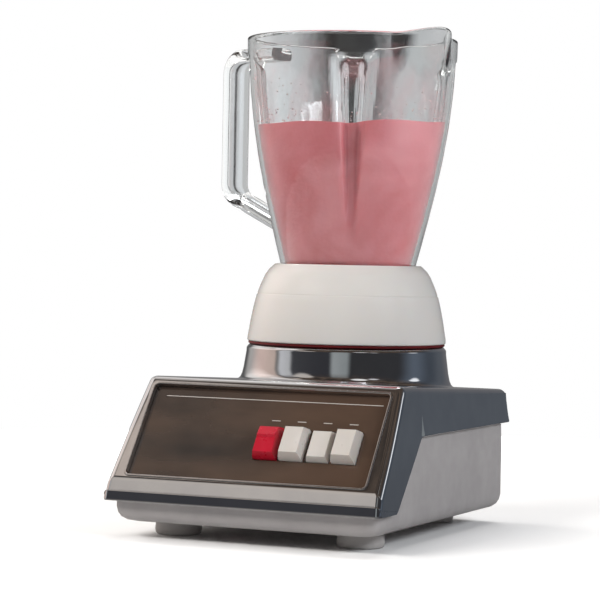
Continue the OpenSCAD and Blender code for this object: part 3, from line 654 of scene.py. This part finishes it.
def sideX(z):
    share = max(0, z - base["curveFrom"]) / (base["crest"] - base["curveFrom"])
    return base["half"] - base["lean"] * (z - base["bottom"]) - base["curveIn"] * share ** 2


def deckZ(y):
    return base["crest"] - (y - base["crestY"]) * (base["crest"] - base["rearDeck"]) / (
        base["rear"] - 5 - base["crestY"])


def onSlope(u, v, w):
    # u along the panel, v up the slope, w out of it
    c, s = math.cos(slopeAngle), math.sin(slopeAngle)
    return (u, base["front"] + v * c - w * s, base["strip"] + v * s + w * c)


def crestPoint(t):
    # where the sloped panel and the deck meet, both moved in by t
    lean = 1 / math.tan(slopeAngle)
    drop = (base["crest"] - base["rearDeck"]) / (base["rear"] - 5 - base["crestY"])
    y = (base["front"] + (base["crest"] - t + drop * base["crestY"] - base["strip"]) * lean
         + t / math.sin(slopeAngle)) / (1 + drop * lean)
    return (y, deckZ(y) - t)


def roundedRectangle(width, height, radius, steps=5):
    w, h = width / 2, height / 2
    return filleted([(-w, -h, radius), (w, -h, radius), (w, h, radius), (-w, h, radius)], steps)


def slopePlate(name, width, height, radius, middle, low, high, steps=6):
    outline = roundedRectangle(width, height, radius, steps)
    return loft(name, [[onSlope(u, v + middle, w) for u, v in outline] for w in (low, high)])


def shellBlock(name, inset):
    # the outline runs front foot, strip, crest, rear deck, skirt and front leg; widths of the rounded
    # edges are bevel weights
    t, front, strip = inset, base["front"], base["strip"]
    foot = base["bottom"] if t == 0 else base["bottom"] - 30
    skirt = base["skirt"] if t == 0 else foot
    if t == 0:
        line = [(front + 0.5, foot, 0, 3.2), (front, foot + 0.6, 0.4, 3.2),
                (front + 1.1, strip - 0.3, 0.4, 3.2), (front + 1.5, strip, 0.2, 3.2),
                (front + 2.4, strip, 0.3, 3.6), (*onSlope(0, 8.4, 0)[1:], 1.5, 4.8)]
    else:
        line = [(front + 3.6, foot, 0, 3.2), (front + 3.6, strip - 0.8, 0, 3.2),
                (*onSlope(0, 8.4, -t)[1:], 0, 4.0)]
    line += [(*crestPoint(t), 2.8, 4.4), (base["rear"] - t, deckZ(base["rear"]) - t, 5, 5),
             (base["rear"] - t, skirt, 0, 0)]
    if t == 0:
        line += [(base["skirtFront"] + 5.5, skirt, 0, 0), (base["skirtFront"] + 1.5, skirt - 0.9, 0, 0),
                 (base["skirtFront"] - 2.5, skirt - 4.6, 0, 0), (base["legRear"] + 1.5, foot + 1.6, 0, 0),
                 (base["legRear"] - 1, foot, 0, 0)]
    widest = 5.0
    points, faces = [], []
    count = len(line)
    for side in (-1, 1):
        points += [(side * base["half"], y, z) for y, z, _, _ in line]
    faces.append(tuple(range(count)))
    faces.append(tuple(reversed(range(count, 2 * count))))
    for k in range(count):
        j = (k + 1) % count
        faces.append((k, k + count, j + count, j))
    obj = addMesh(name, points, faces)
    mesh = obj.data
    bm = bmesh.new()
    bm.from_mesh(mesh)
    for z in (46, 52, 58, 64, 70, 76, 82, 88):
        bmesh.ops.bisect_plane(bm, geom=bm.verts[:] + bm.edges[:] + bm.faces[:],
                               plane_co=(0, 0, z * mm), plane_no=(0, 0, 1))
    weight = bm.edges.layers.float.new("bevel_weight_edge")
    corners = [Vector((y, z)) for y, z, _, _ in line]
    for edge in bm.edges:
        first, last = (Vector((v.co.y, v.co.z)) / mm for v in edge.verts)
        width = 0
        if edge.verts[0].co.x * edge.verts[1].co.x < 0:
            width = max([line[k][2] for k in range(count) if (corners[k] - first).length < 0.02], default=0)
        else:
            middle = (first + last) / 2
            for k in range(count):
                start, end = corners[k], corners[(k + 1) % count]
                along = max(0, min(1, (middle - start).dot(end - start) / (end - start).length_squared))
                if (start.lerp(end, along) - middle).length < 0.02:
                    width = line[k][3]
        edge[weight] = max(0, width - t) / widest
    for vertex in bm.verts:
        vertex.co.x *= (sideX(vertex.co.z / mm) - t) / base["half"]
    bm.to_mesh(mesh)
    bm.free()
    bevel = obj.modifiers.new("rounded edges", "BEVEL")
    bevel.width = widest * mm
    bevel.segments = 5
    bevel.limit_method = "WEIGHT"
    bevel.use_clamp_overlap = False
    return baked(obj)


def postAt(x, y, low, high, outer, name):
    rings = []
    for z in (low, high):
        rings.append([(x + outer * math.cos(a), y + outer * math.sin(a), z)
                      for a in (2 * math.pi * k / 32 for k in range(32))])
    return loft(name, rings)


panel = dict(width=155, height=66, middle=43, plate=-3, rowU=32.6, rowV=38.5, pitch=16.4)
postPlaces = [(-70, -86), (70, -86), (-70, 48), (70, 48)]


def makeTurret():
    r, seat = base["turret"], base["seat"]
    outline = filleted([
        (69, 0, 0), (67.3, 0.4, 0), (66.2, 1.5, 0), (65.2, 4, 0), (64.3, 8.5, 0), (63.4, 16, 0),
        (r + 0.1, 21.5, 0), (r, 24.4, 2), (r - 2.2, 27, 1.2), (20, 27, 0.4), (20, 25.6, 0.2),
        (r - 3, 25.6, 0.6), (r - 1.4, 23, 0.6), (r + 0.5, 10, 0), (r + 2.2, -1.6, 0), (69, -1.6, 0)], 4)

    def lift(a, radius, z):
        y = radius * math.sin(a)
        deck = deckZ(y) + 0.05
        if y > base["rear"] - 5:
            deck -= 5 - math.sqrt(max(0, 25 - (y - base["rear"] + 5) ** 2))
        return (seat - 27) * smoothStep(z / 27) + deck * (1 - smoothStep(z / 27))

    steps = 160
    rings = []
    for k in range(steps):
        a = 2 * math.pi * k / steps
        behind = smoothStep((math.sin(a) - 0.55) / 0.4)
        ring = []
        for radius, z in outline:
            if radius > 66:
                radius = min(radius, 69 - behind * 2.4)
            ring.append((radius * math.cos(a), radius * math.sin(a), z + lift(a, radius, z)))
        rings.append(ring)
    return loft("turret", rings, closed=True)


def makeLip():
    # the sides and the back flare out to a rolled edge
    side, back = sideX(base["skirt"]), base["rear"]
    section = [(-0.3, 16), (0.05, 12), (0.25, 8), (0.55, 4.6), (0.85, 2.2), (1.0, 1.0), (0.92, 0.25),
               (0.5, 0), (-0.9, 0), (-0.9, 1.2), (-0.9, 15)]
    corner = 5
    path = [(-side, base["skirtFront"] + 4, (-1, 0))]
    path += [(-side, back - corner, (-1, 0))]
    for k in range(1, 7):
        a = math.pi / 2 * k / 6
        path.append((-side + corner * (1 - math.cos(a)), back - corner + corner * math.sin(a),
                     (-math.cos(a), math.sin(a))))
    path += [(-x, y, (-nx, ny)) for x, y, (nx, ny) in reversed(path)]
    rings = []
    for x, y, (nx, ny) in path:
        curve = [(sideX(base["skirt"] + up) - side) for out, up in section]
        rings.append([(x + (out + inward) * nx, y + out * ny, base["skirt"] + up)
                      for (out, up), inward in zip(section, curve)])
    return loft("lip", rings)


def makeShell():
    shell = shellBlock("chromeShell", 0)
    hollow = shellBlock("hollow", base["sheet"])
    window = slopePlate("window", panel["width"], panel["height"], 4, panel["middle"], -base["sheet"] - 2, 2)
    mouth = postAt(0, 0, 76, 99, base["turret"] + 1.0, "mouth")
    combined(shell, [hollow, window, mouth])
    posts = []
    for x, y in postPlaces:
        post = postAt(x, y, 40, deckZ(y) - 1.2, 4.6, "post")
        combined(post, [postAt(x, y, 39, 61, 1.7, "bore")])
        posts.append(post)
    shaded(shell, 38)
    trim = joined(makeTurret(), [makeLip()] + posts)
    # screw holes in the seat of the turret
    combined(trim, [postAt(x, y, base["seat"] - 3, base["seat"] + 1, 2.2, "hole")
                    for x in (-33, 33) for y in (-17, 17)])
    shaded(trim, 38)
    placed(shell, finishes["chrome"], "base", ["upper_housing"])
    placed(trim, finishes["chrome"], "base", ["upper_housing"])


makeShell()
print("chrome shell made")

tray = dict(inset=4, front=-148, rear=64, foot=9.5, wall=2.4, top=68.5, corner=7, frontRun=49,
            glandX=-45, glandZ=30)


def trayBlock(name, t):
    rings = []
    levels = [(tray["foot"] + t, 6.6), (tray["foot"] + 0.7 + t, 4.0), (tray["foot"] + 2.4 + t, 1.9),
              (tray["foot"] + 5 + t, 0.6), (tray["foot"] + 8.5 + t, 0), (base["strip"], 0), (48, 0),
              (tray["top"] + t / 2, 0)]
    for z, rolled in levels:
        half = min(base["half"] - tray["inset"], sideX(z) - base["sheet"] - 0.6) - t - rolled
        front = tray["front"] + t + rolled
        if z > base["strip"]:
            climb = (z - base["strip"]) / (tray["top"] - base["strip"])
            front = tray["front"] + t + climb * tray["frontRun"]
        rear = tray["rear"] - t - rolled
        middle, depth = (front + rear) / 2, rear - front
        corner = max(1, tray["corner"] - t + rolled * 0.4)
        rings.append([(x, middle + y, z) for x, y in roundedRectangle(2 * half, depth, corner, 8)])
    return loft(name, rings)


def block(name, low, high):
    (x0, y0, z0), (x1, y1, z1) = low, high
    return loft(name, [[(x0, y0, z), (x1, y0, z), (x1, y1, z), (x0, y1, z)] for z in (z0, z1)])


def throughBackWall(obj, tilt):
    place = Vector((tray["glandX"], tray["rear"], tray["glandZ"])) * mm
    obj.data.transform(Matrix.Translation(place) @ Matrix.Rotation(tilt, 4, "X"))


footPlaces = {"foot_front_left": (-59, -111), "foot_front_right": (59, -111),
              "foot_rear_left": (-45, 38), "foot_rear_right": (45, 38)}


def makeTray():
    body = trayBlock("greyHousing", 0)
    combined(body, [trayBlock("inside", tray["wall"])])
    combined(body, [postAt(x, y, tray["foot"] + 1, 39.8, 5, "column") for x, y in postPlaces]
             + [postAt(x, y, tray["foot"] + 1, 17.5, 6, "pad") for x, y in footPlaces.values()], "UNION")
    cuts = [postAt(x, y, -1, 17.5, 4.2, "well") for x, y in postPlaces]
    cuts += [postAt(x, y, -1, 60, 2.3, "bore") for x, y in postPlaces]
    cuts += [postAt(x, y, -1, 17, 1.7, "pilot") for x, y in footPlaces.values()]
    # the front is open above the strip, where the switch hangs from the panel
    cuts.append(block("switchRoom", (-76, tray["front"] - 1, 30.3), (76, -95, 90)))
    cuts += [block("vent", (-25.5 + i * 8, -34, 0), (-22.5 + i * 8, 26, 20)) for i in range(7)]
    cuts.append(postAt(-22, -112, -1, 20, 4.4, "resetHole"))
    hole = postAt(0, 0, -4, 4, 6.5, "glandHole")
    throughBackWall(hole, math.pi / 2)
    cuts.append(hole)
    combined(body, cuts)
    shaded(body, 32)
    placed(body, finishes["housingGrey"], "base", ["lower_housing"])


makeTray()


def makeFeet():
    outline = filleted([(4.4, 0, 0.5), (13.4, 0, 1.4), (14, 3, 0.8), (13.5, 8.2, 0.3), (13.5, 9.45, 0.2),
                        (2.1, 9.45, 0), (2.1, 4.5, 0), (4.4, 4.5, 0.3)], 4)
    for node, (x, y) in footPlaces.items():
        foot = lathe(node.replace("_", ""), outline, 72)
        foot.data.transform(Matrix.Translation((x * mm, y * mm, 0)))
        shaded(foot, 45)
        placed(foot, finishes["footRubber"], "base", [node])


makeFeet()
print("grey housing and feet made")


# control panel

def makePanel():
    bezel = softened(copyOfNode("panel_bezel", "panelBezel"), 0.35, 3)
    placed(shaded(bezel, 50), finishes["bezelChrome"], "base", ["panel_bezel"])
    for use in ("off", "grate", "liquefy", "pulse"):
        finish, slot = ("keyRed", "key_red") if use == "off" else ("keyWhite", "key_white")
        key = softened(copyOfNode(use + "_button", use + "Key"), 0.7, 4, 25)
        placed(shaded(key, 60), finishes[finish], use + "_key", [use + "_button"])
    # printed rules on the plate: one long line and a tick above each key
    ticks = [(panel["rowU"] + (i - 1.5) * panel["pitch"], 54.6, 5.5, 0.5) for i in range(4)]
    marks = []
    for u, v, width, height in [(2, 68.2, 140, 0.45)] + ticks:
        outline = roundedRectangle(width, height, min(width, height) * 0.45, 3)
        marks.append(loft("mark", [[onSlope(u + a, v + b, panel["plate"] + w) for a, b in outline]
                                   for w in (-0.05, 0.05)]))
    printed = joined(marks[0], marks[1:])
    printed.name = "plateMarks"
    placed(printed, finishes["keyWhite"], "base")


makePanel()
print("control panel made")


# cord gland

def makeGland():
    outline = filleted([(3.7, -7, 0.3), (8.6, -7, 0.5), (8.6, -4.8, 0.4), (6.4, -4.8, 0), (6.4, 0.02, 0),
                        (9, 0.02, 0.3), (9, 2.62, 0.8), (6.6, 2.62, 0.6), (6.2, 5.6, 0.8),
                        (3.7, 5.6, 0.4)], 4)
    gland = lathe("cordGland", outline, 64)
    throughBackWall(gland, -math.pi / 2)
    placed(shaded(gland, 45), finishes["blackRubber"], "base", ["cord_gland"])


makeGland()


# seat, collar and couplings

collarLow, collarHigh = boxOf("collar")
collar = dict(bottom=collarLow[2], radius=62.4, bore=40.8, ledge=19.4, height=collarHigh[2] - collarLow[2])


def makeSeat():
    ring = lathe("seatRing", filleted([(50, 112.02, 0.2), (61.5, 112.02, 0.3), (61.7, 113.5, 0.5),
                                       (50, 113.56, 0.2)], 3), 128)
    placed(shaded(ring, 50), finishes["seatRed"], "base", ["seat_ring"])


def makeCollar():
    r, h, bore, ledge = collar["radius"], collar["height"], collar["bore"], collar["ledge"]
    outline = filleted([
        (r - 2.2, 0, 0.6), (r, 0, 0.9), (r - 0.35, 3.4, 0), (r - 1.0, 7, 0), (r - 1.95, 13, 0),
        (r - 3.1, 19, 0), (r - 4.45, 25, 0), (r - 5.5, 29.0, 0), (r - 5.95, 29.35, 0), (r - 6.1, 29.9, 0),
        (r - 6.05, 30.4, 0), (r - 7.7, 35, 0), (r - 10.6, 41.5, 0), (r - 12.9, 44.9, 0), (46.6, 47.6, 1.2),
        (45.6, h, 0.8), (43.4, h, 0.4), (bore, h - 4, 0.3), (bore, ledge + 3, 0.3), (31, ledge + 3, 0.3),
        (31, ledge, 0.3), (bore + 3, ledge, 0.3), (bore + 3, h - 6, 0), (r - 15.1, h - 6, 1.5),
        (r - 9.5, 31, 0), (r - 6.1, 19, 0), (r - 4, 7, 0)], 4)
    shell = lathe("collarBell", outline, 160)
    fin = block("collarFins", (bore + 2.6, -1, ledge + 3), (bore + 9.5, 1, 31))
    useTree(fin, ringOfCopies(), {"Copies": 8, "First Angle": math.radians(22.5),
                                  "Material": finishes["collarWhite"]})
    shell = joined(shell, [fin])
    shell.data.transform(Matrix.Translation((0, 0, collar["bottom"] * mm)))
    placed(shaded(shell, 38), finishes["collarWhite"], "collar_set", ["collar"])


makeSeat()
makeCollar()

softNodes = {  # node: body, finish, slot, width of the softened edge
    "drive_coupling": ("rotor", "couplingRubber", "coupling_rubber", 0.4),
    "driven_coupling": ("agitator", "couplingRubber", "coupling_rubber", 0.4),
    "cooling_fan": ("rotor", "fanNylon", "fan_nylon", 0.25),
    "cap_nut": ("agitator", "bladeSteel", "blade_steel", 0.4),
    "lower_blade": ("agitator", "bladeSteel", "blade_steel", 0.12),
    "upper_blade": ("agitator", "bladeSteel", "blade_steel", 0.12),
    "blade_base": ("collar_set", "dieCast", "die_cast", 0.4),
}
for nodeName, (body, finish, slot, width) in softNodes.items():
    words = nodeName.split("_")
    piece = softened(copyOfNode(nodeName, words[0] + words[1].capitalize()), width, 2, 35)
    placed(shaded(piece, 45), finishes[finish], body, [nodeName])
print("seat, collar and couplings made")


# jar

jar = dict(neckZ=140.5, neckR=38.4, bottom=collarHigh[2], waist=42.4, rim=65.6, height=140.6, glass=3,
           foldDepth=7.5, spoutOut=11, spoutHalf=24, spoutRise=4, turn=math.radians(-21), level=251,
           reach=105.5, around=288)
jar["top"] = jar["bottom"] + jar["height"]
jar["foldTop"] = jar["top"] - 17
jar["foldEnd"] = jar["bottom"] + 12


def jarRadius(z):
    if z < jar["bottom"]:
        return jar["neckR"] + (jar["waist"] - jar["neckR"]) * smoothStep((z - jar["bottom"] + 5) / 5)
    return jar["waist"] + (jar["rim"] - jar["waist"]) * math.sin(
        math.pi / 2 * min(1, (z - jar["bottom"]) / jar["height"]))


def foldIn(a, z):
    # four folds between the corners, rounded at the top and fading to a point below
    half = 3 + 7.5 * (z - jar["foldEnd"]) / (jar["foldTop"] - jar["foldEnd"])
    depth = jar["foldDepth"] * smoothStep((jar["foldTop"] + 5 - z) / 9)
    depth *= smoothStep((z - jar["foldEnd"]) / 60)
    off = abs((a + 360) % 90 - 45) * math.pi / 180 * jarRadius(z)
    return depth * smoothStep(1.35 - off / max(2, half))


def spoutOut(a, z):
    d = min(a, 360 - a)
    return jar["spoutOut"] * smoothStep((z - jar["top"] + 30) / 30) * smoothStep(1 - d / jar["spoutHalf"])


def wallPoint(a, z, inset, rise=1):
    r = jarRadius(z) - inset + spoutOut(a, z) - foldIn(a, z)
    up = rise * jar["spoutRise"] * smoothStep(1 - min(a, 360 - a) / jar["spoutHalf"])
    up *= smoothStep((z - jar["top"] + 30) / 30)
    angle = math.radians(a) + jar["turn"]
    return (r * math.cos(angle), r * math.sin(angle), z + up)


def levelAt(a):
    # the drink stands a little lower towards one side, with a wave in it
    angle = math.radians(a) + jar["turn"]
    sunk = 3.2 * smoothStep((math.cos(angle + math.radians(118)) - 0.3) / 0.5)
    return jar["level"] - sunk + 0.8 * math.sin(3 * angle + 0.6) + 0.4 * math.sin(7 * angle)


def wallRing(z, inset):
    return [wallPoint(360 * i / jar["around"], z, inset) for i in range(jar["around"])]


def turned(x, y, z):
    c, s = math.cos(jar["turn"]), math.sin(jar["turn"])
    return (x * c - y * s, x * s + y * c, z)


def makeJar():
    low, high, t = jar["neckZ"], jar["top"], jar["glass"]
    rows = 84
    heights = [low + 0.6 + (high - 1.2 - low - 0.6) * k / rows for k in range(rows + 1)]
    rings = [wallRing(low, 1.0), wallRing(low + 0.3, 0.3)]
    rings += [wallRing(z, 0) for z in heights]
    # the rim is a rounded bead
    rings += [wallRing(high - 1.2 + 1.2 * math.sin(a), t / 2 - t / 2 * math.cos(a))
              for a in (math.pi * k / 8 for k in range(1, 8))]
    rings += [wallRing(z, t) for z in reversed(heights)]
    rings += [wallRing(low + 0.3, t - 0.3), wallRing(low, t - 1.0)]
    wall = loft("jarGlass", rings, closed=True)

    grip, top = jar["reach"], jar["top"]
    corners = [(66.2, top - 6.5, 0), (grip, top - 6.5, 12), (grip, top - 97, 12), (50.4, top - 119, 0)]
    middle = filleted([(0, top + 60, 0)] + corners + [(0, top - 160, 0)], 14)[1:-1]
    section = roundedRectangle(20, 8, 3.4, 4)
    path = []
    for k in range(len(middle) - 1):
        ax, az = middle[k]
        bx, bz = middle[k + 1]
        parts = max(1, int(math.hypot(bx - ax, bz - az) / 4))
        path += [(ax + (bx - ax) * n / parts, az + (bz - az) * n / parts) for n in range(parts)]
    path.append(middle[-1])
    handleRings = []
    for k, (px, pz) in enumerate(path):
        before, after = path[max(0, k - 1)], path[min(len(path) - 1, k + 1)]
        along = Vector((after[0] - before[0], after[1] - before[1])).normalized()
        across = Vector((-along.y, along.x))
        handleRings.append([turned(-(px + b * across.x), a, pz + b * across.y) for a, b in section])
    handle = loft("handle", handleRings)

    steps, turns, pitch = 216, 1.5, 4
    threadRings = []
    for k in range(steps + 1):
        a = 2 * math.pi * turns * k / steps
        out = 1.75 * min(1, k / 14, (steps - k) / 14) + 0.02
        z = low + 3 + a / (2 * math.pi) * pitch
        threadRings.append([turned(r * math.cos(a), r * math.sin(a), z + up) for r, up in (
            (jar["neckR"] - 0.4, -1.2), (jar["neckR"] + out * 0.8, -0.6), (jar["neckR"] + out, 0),
            (jar["neckR"] + out * 0.8, 0.6), (jar["neckR"] - 0.4, 1.2))])
    thread = loft("thread", threadRings)
    joined(wall, [handle, thread])
    shaded(wall, 50, weighted=False)
    placed(wall, finishes["jarGlass"], "jar_body", ["jar"])


def makeSmoothieBody():
    clearance = jar["glass"] + 0.12
    low, level = jar["neckZ"] + 2, jar["level"]
    rows = 64
    rings = []
    for k in range(rows + 1):
        ring = []
        for i in range(jar["around"]):
            a = 360 * i / jar["around"]
            ring.append(wallPoint(a, low + (levelAt(a) - low) * k / rows, clearance, 0))
        rings.append(ring)
    # the top is nearly flat, climbs at the glass and is uneven with foam
    for share in (0.985, 0.96, 0.9, 0.8, 0.66, 0.5, 0.34, 0.18, 0.06, 0.0):
        ring = []
        for i in range(jar["around"]):
            a = 360 * i / jar["around"]
            x, y, z = wallPoint(a, levelAt(a), clearance, 0)
            z += (level - z) * (1 - share)
            foam = (math.sin(x * share * 0.21 + 1.3) * math.cos(y * share * 0.17 - 0.4) * 0.8
                    + math.sin(x * share * 0.9) * math.sin(y * share * 0.8 + 2) * 0.25)
            foam *= smoothStep((1 - share) / 0.2)
            ring.append((x * share, y * share, z - 1.6 * smoothStep((1 - share) / 0.08) + foam))
        rings.append(ring)
    drink = loft("smoothie", rings)
    placed(shaded(drink, 60, weighted=False), finishes["smoothie"], "jar_body")


def makeWash():
    # a film of drink on the inside of the glass above the level, and the drops scattered on it
    rows, inset = 26, jar["glass"] + 0.06
    points, faces = [], []
    around = jar["around"]
    for layer in (0, 1):
        for k in range(rows + 1):
            for i in range(around):
                low = levelAt(360 * i / around) + 0.5
                z = low + (jar["top"] - 6 - low) * k / rows
                points.append(wallPoint(360 * i / around, z, inset + 0.1 * layer, 0))
    half = (rows + 1) * around
    for k in range(rows):
        for i in range(around):
            j = (i + 1) % around
            a, b, c, d = k * around + i, k * around + j, (k + 1) * around + j, (k + 1) * around + i
            faces += [(a, b, c, d), (half + d, half + c, half + b, half + a)]
    for i in range(around):
        j = (i + 1) % around
        faces.append((i, half + i, half + j, j))
        top = rows * around
        faces.append((top + j, half + top + j, half + top + i, top + i))
    film = addMesh("smoothieFilm", points, faces)
    shaded(film, 60, weighted=False)

    tree, start, end = makeTree("scattered drops", [
        ("Density", "NodeSocketFloat", 9000.0), ("Smallest", "NodeSocketFloat", 0.25 * mm),
        ("Largest", "NodeSocketFloat", 0.8 * mm), ("Seed", "NodeSocketInt", 7),
        ("Lowest", "NodeSocketFloat", 0.251), ("Fade", "NodeSocketFloat", 0.03),
        ("Material", "NodeSocketMaterial", None)])
    nodes, links = tree.nodes, tree.links
    where = nodes.new("GeometryNodeInputPosition")
    split = nodes.new("ShaderNodeSeparateXYZ")
    links.new(where.outputs[0], split.inputs[0])
    above = mathNode(tree, "SUBTRACT", split.outputs["Z"], start.outputs["Lowest"])
    share = mathNode(tree, "DIVIDE", above, start.outputs["Fade"])
    keep = mathNode(tree, "POWER", 0.06, share)
    density = mathNode(tree, "MULTIPLY", keep, start.outputs["Density"])
    scatter = nodes.new("GeometryNodeDistributePointsOnFaces")
    links.new(start.outputs["Geometry"], scatter.inputs["Mesh"])
    links.new(density, scatter.inputs["Density"])
    links.new(start.outputs["Seed"], scatter.inputs["Seed"])
    ball = nodes.new("GeometryNodeMeshIcoSphere")
    ball.inputs["Subdivisions"].default_value = 2
    ball.inputs["Radius"].default_value = 1.0
    size = nodes.new("FunctionNodeRandomValue")
    links.new(start.outputs["Smallest"], size.inputs[2])
    links.new(start.outputs["Largest"], size.inputs[3])
    links.new(start.outputs["Seed"], size.inputs["Seed"])
    copies = nodes.new("GeometryNodeInstanceOnPoints")
    links.new(scatter.outputs["Points"], copies.inputs["Points"])
    links.new(ball.outputs["Mesh"], copies.inputs["Instance"])
    links.new(size.outputs[1], copies.inputs["Scale"])
    real = nodes.new("GeometryNodeRealizeInstances")
    links.new(copies.outputs[0], real.inputs[0])
    smooth = nodes.new("GeometryNodeSetShadeSmooth")
    links.new(real.outputs[0], smooth.inputs["Geometry"])
    paint = nodes.new("GeometryNodeSetMaterial")
    links.new(smooth.outputs[0], paint.inputs["Geometry"])
    links.new(start.outputs["Material"], paint.inputs["Material"])
    links.new(paint.outputs[0], end.inputs[0])
    drops = bpy.data.objects.new("smoothieDrops", film.data.copy())
    scene.collection.objects.link(drops)
    useTree(drops, tree, {"Density": 26000.0, "Smallest": 0.15 * mm, "Largest": 0.55 * mm, "Seed": 7,
                          "Lowest": jar["level"] * mm, "Fade": 0.03, "Material": finishes["froth"]})
    placed(film, finishes["wash"], "jar_body")
    placed(drops, finishes["froth"], "jar_body")


makeJar()
makeSmoothieBody()
makeWash()
print("jar and its filling made")
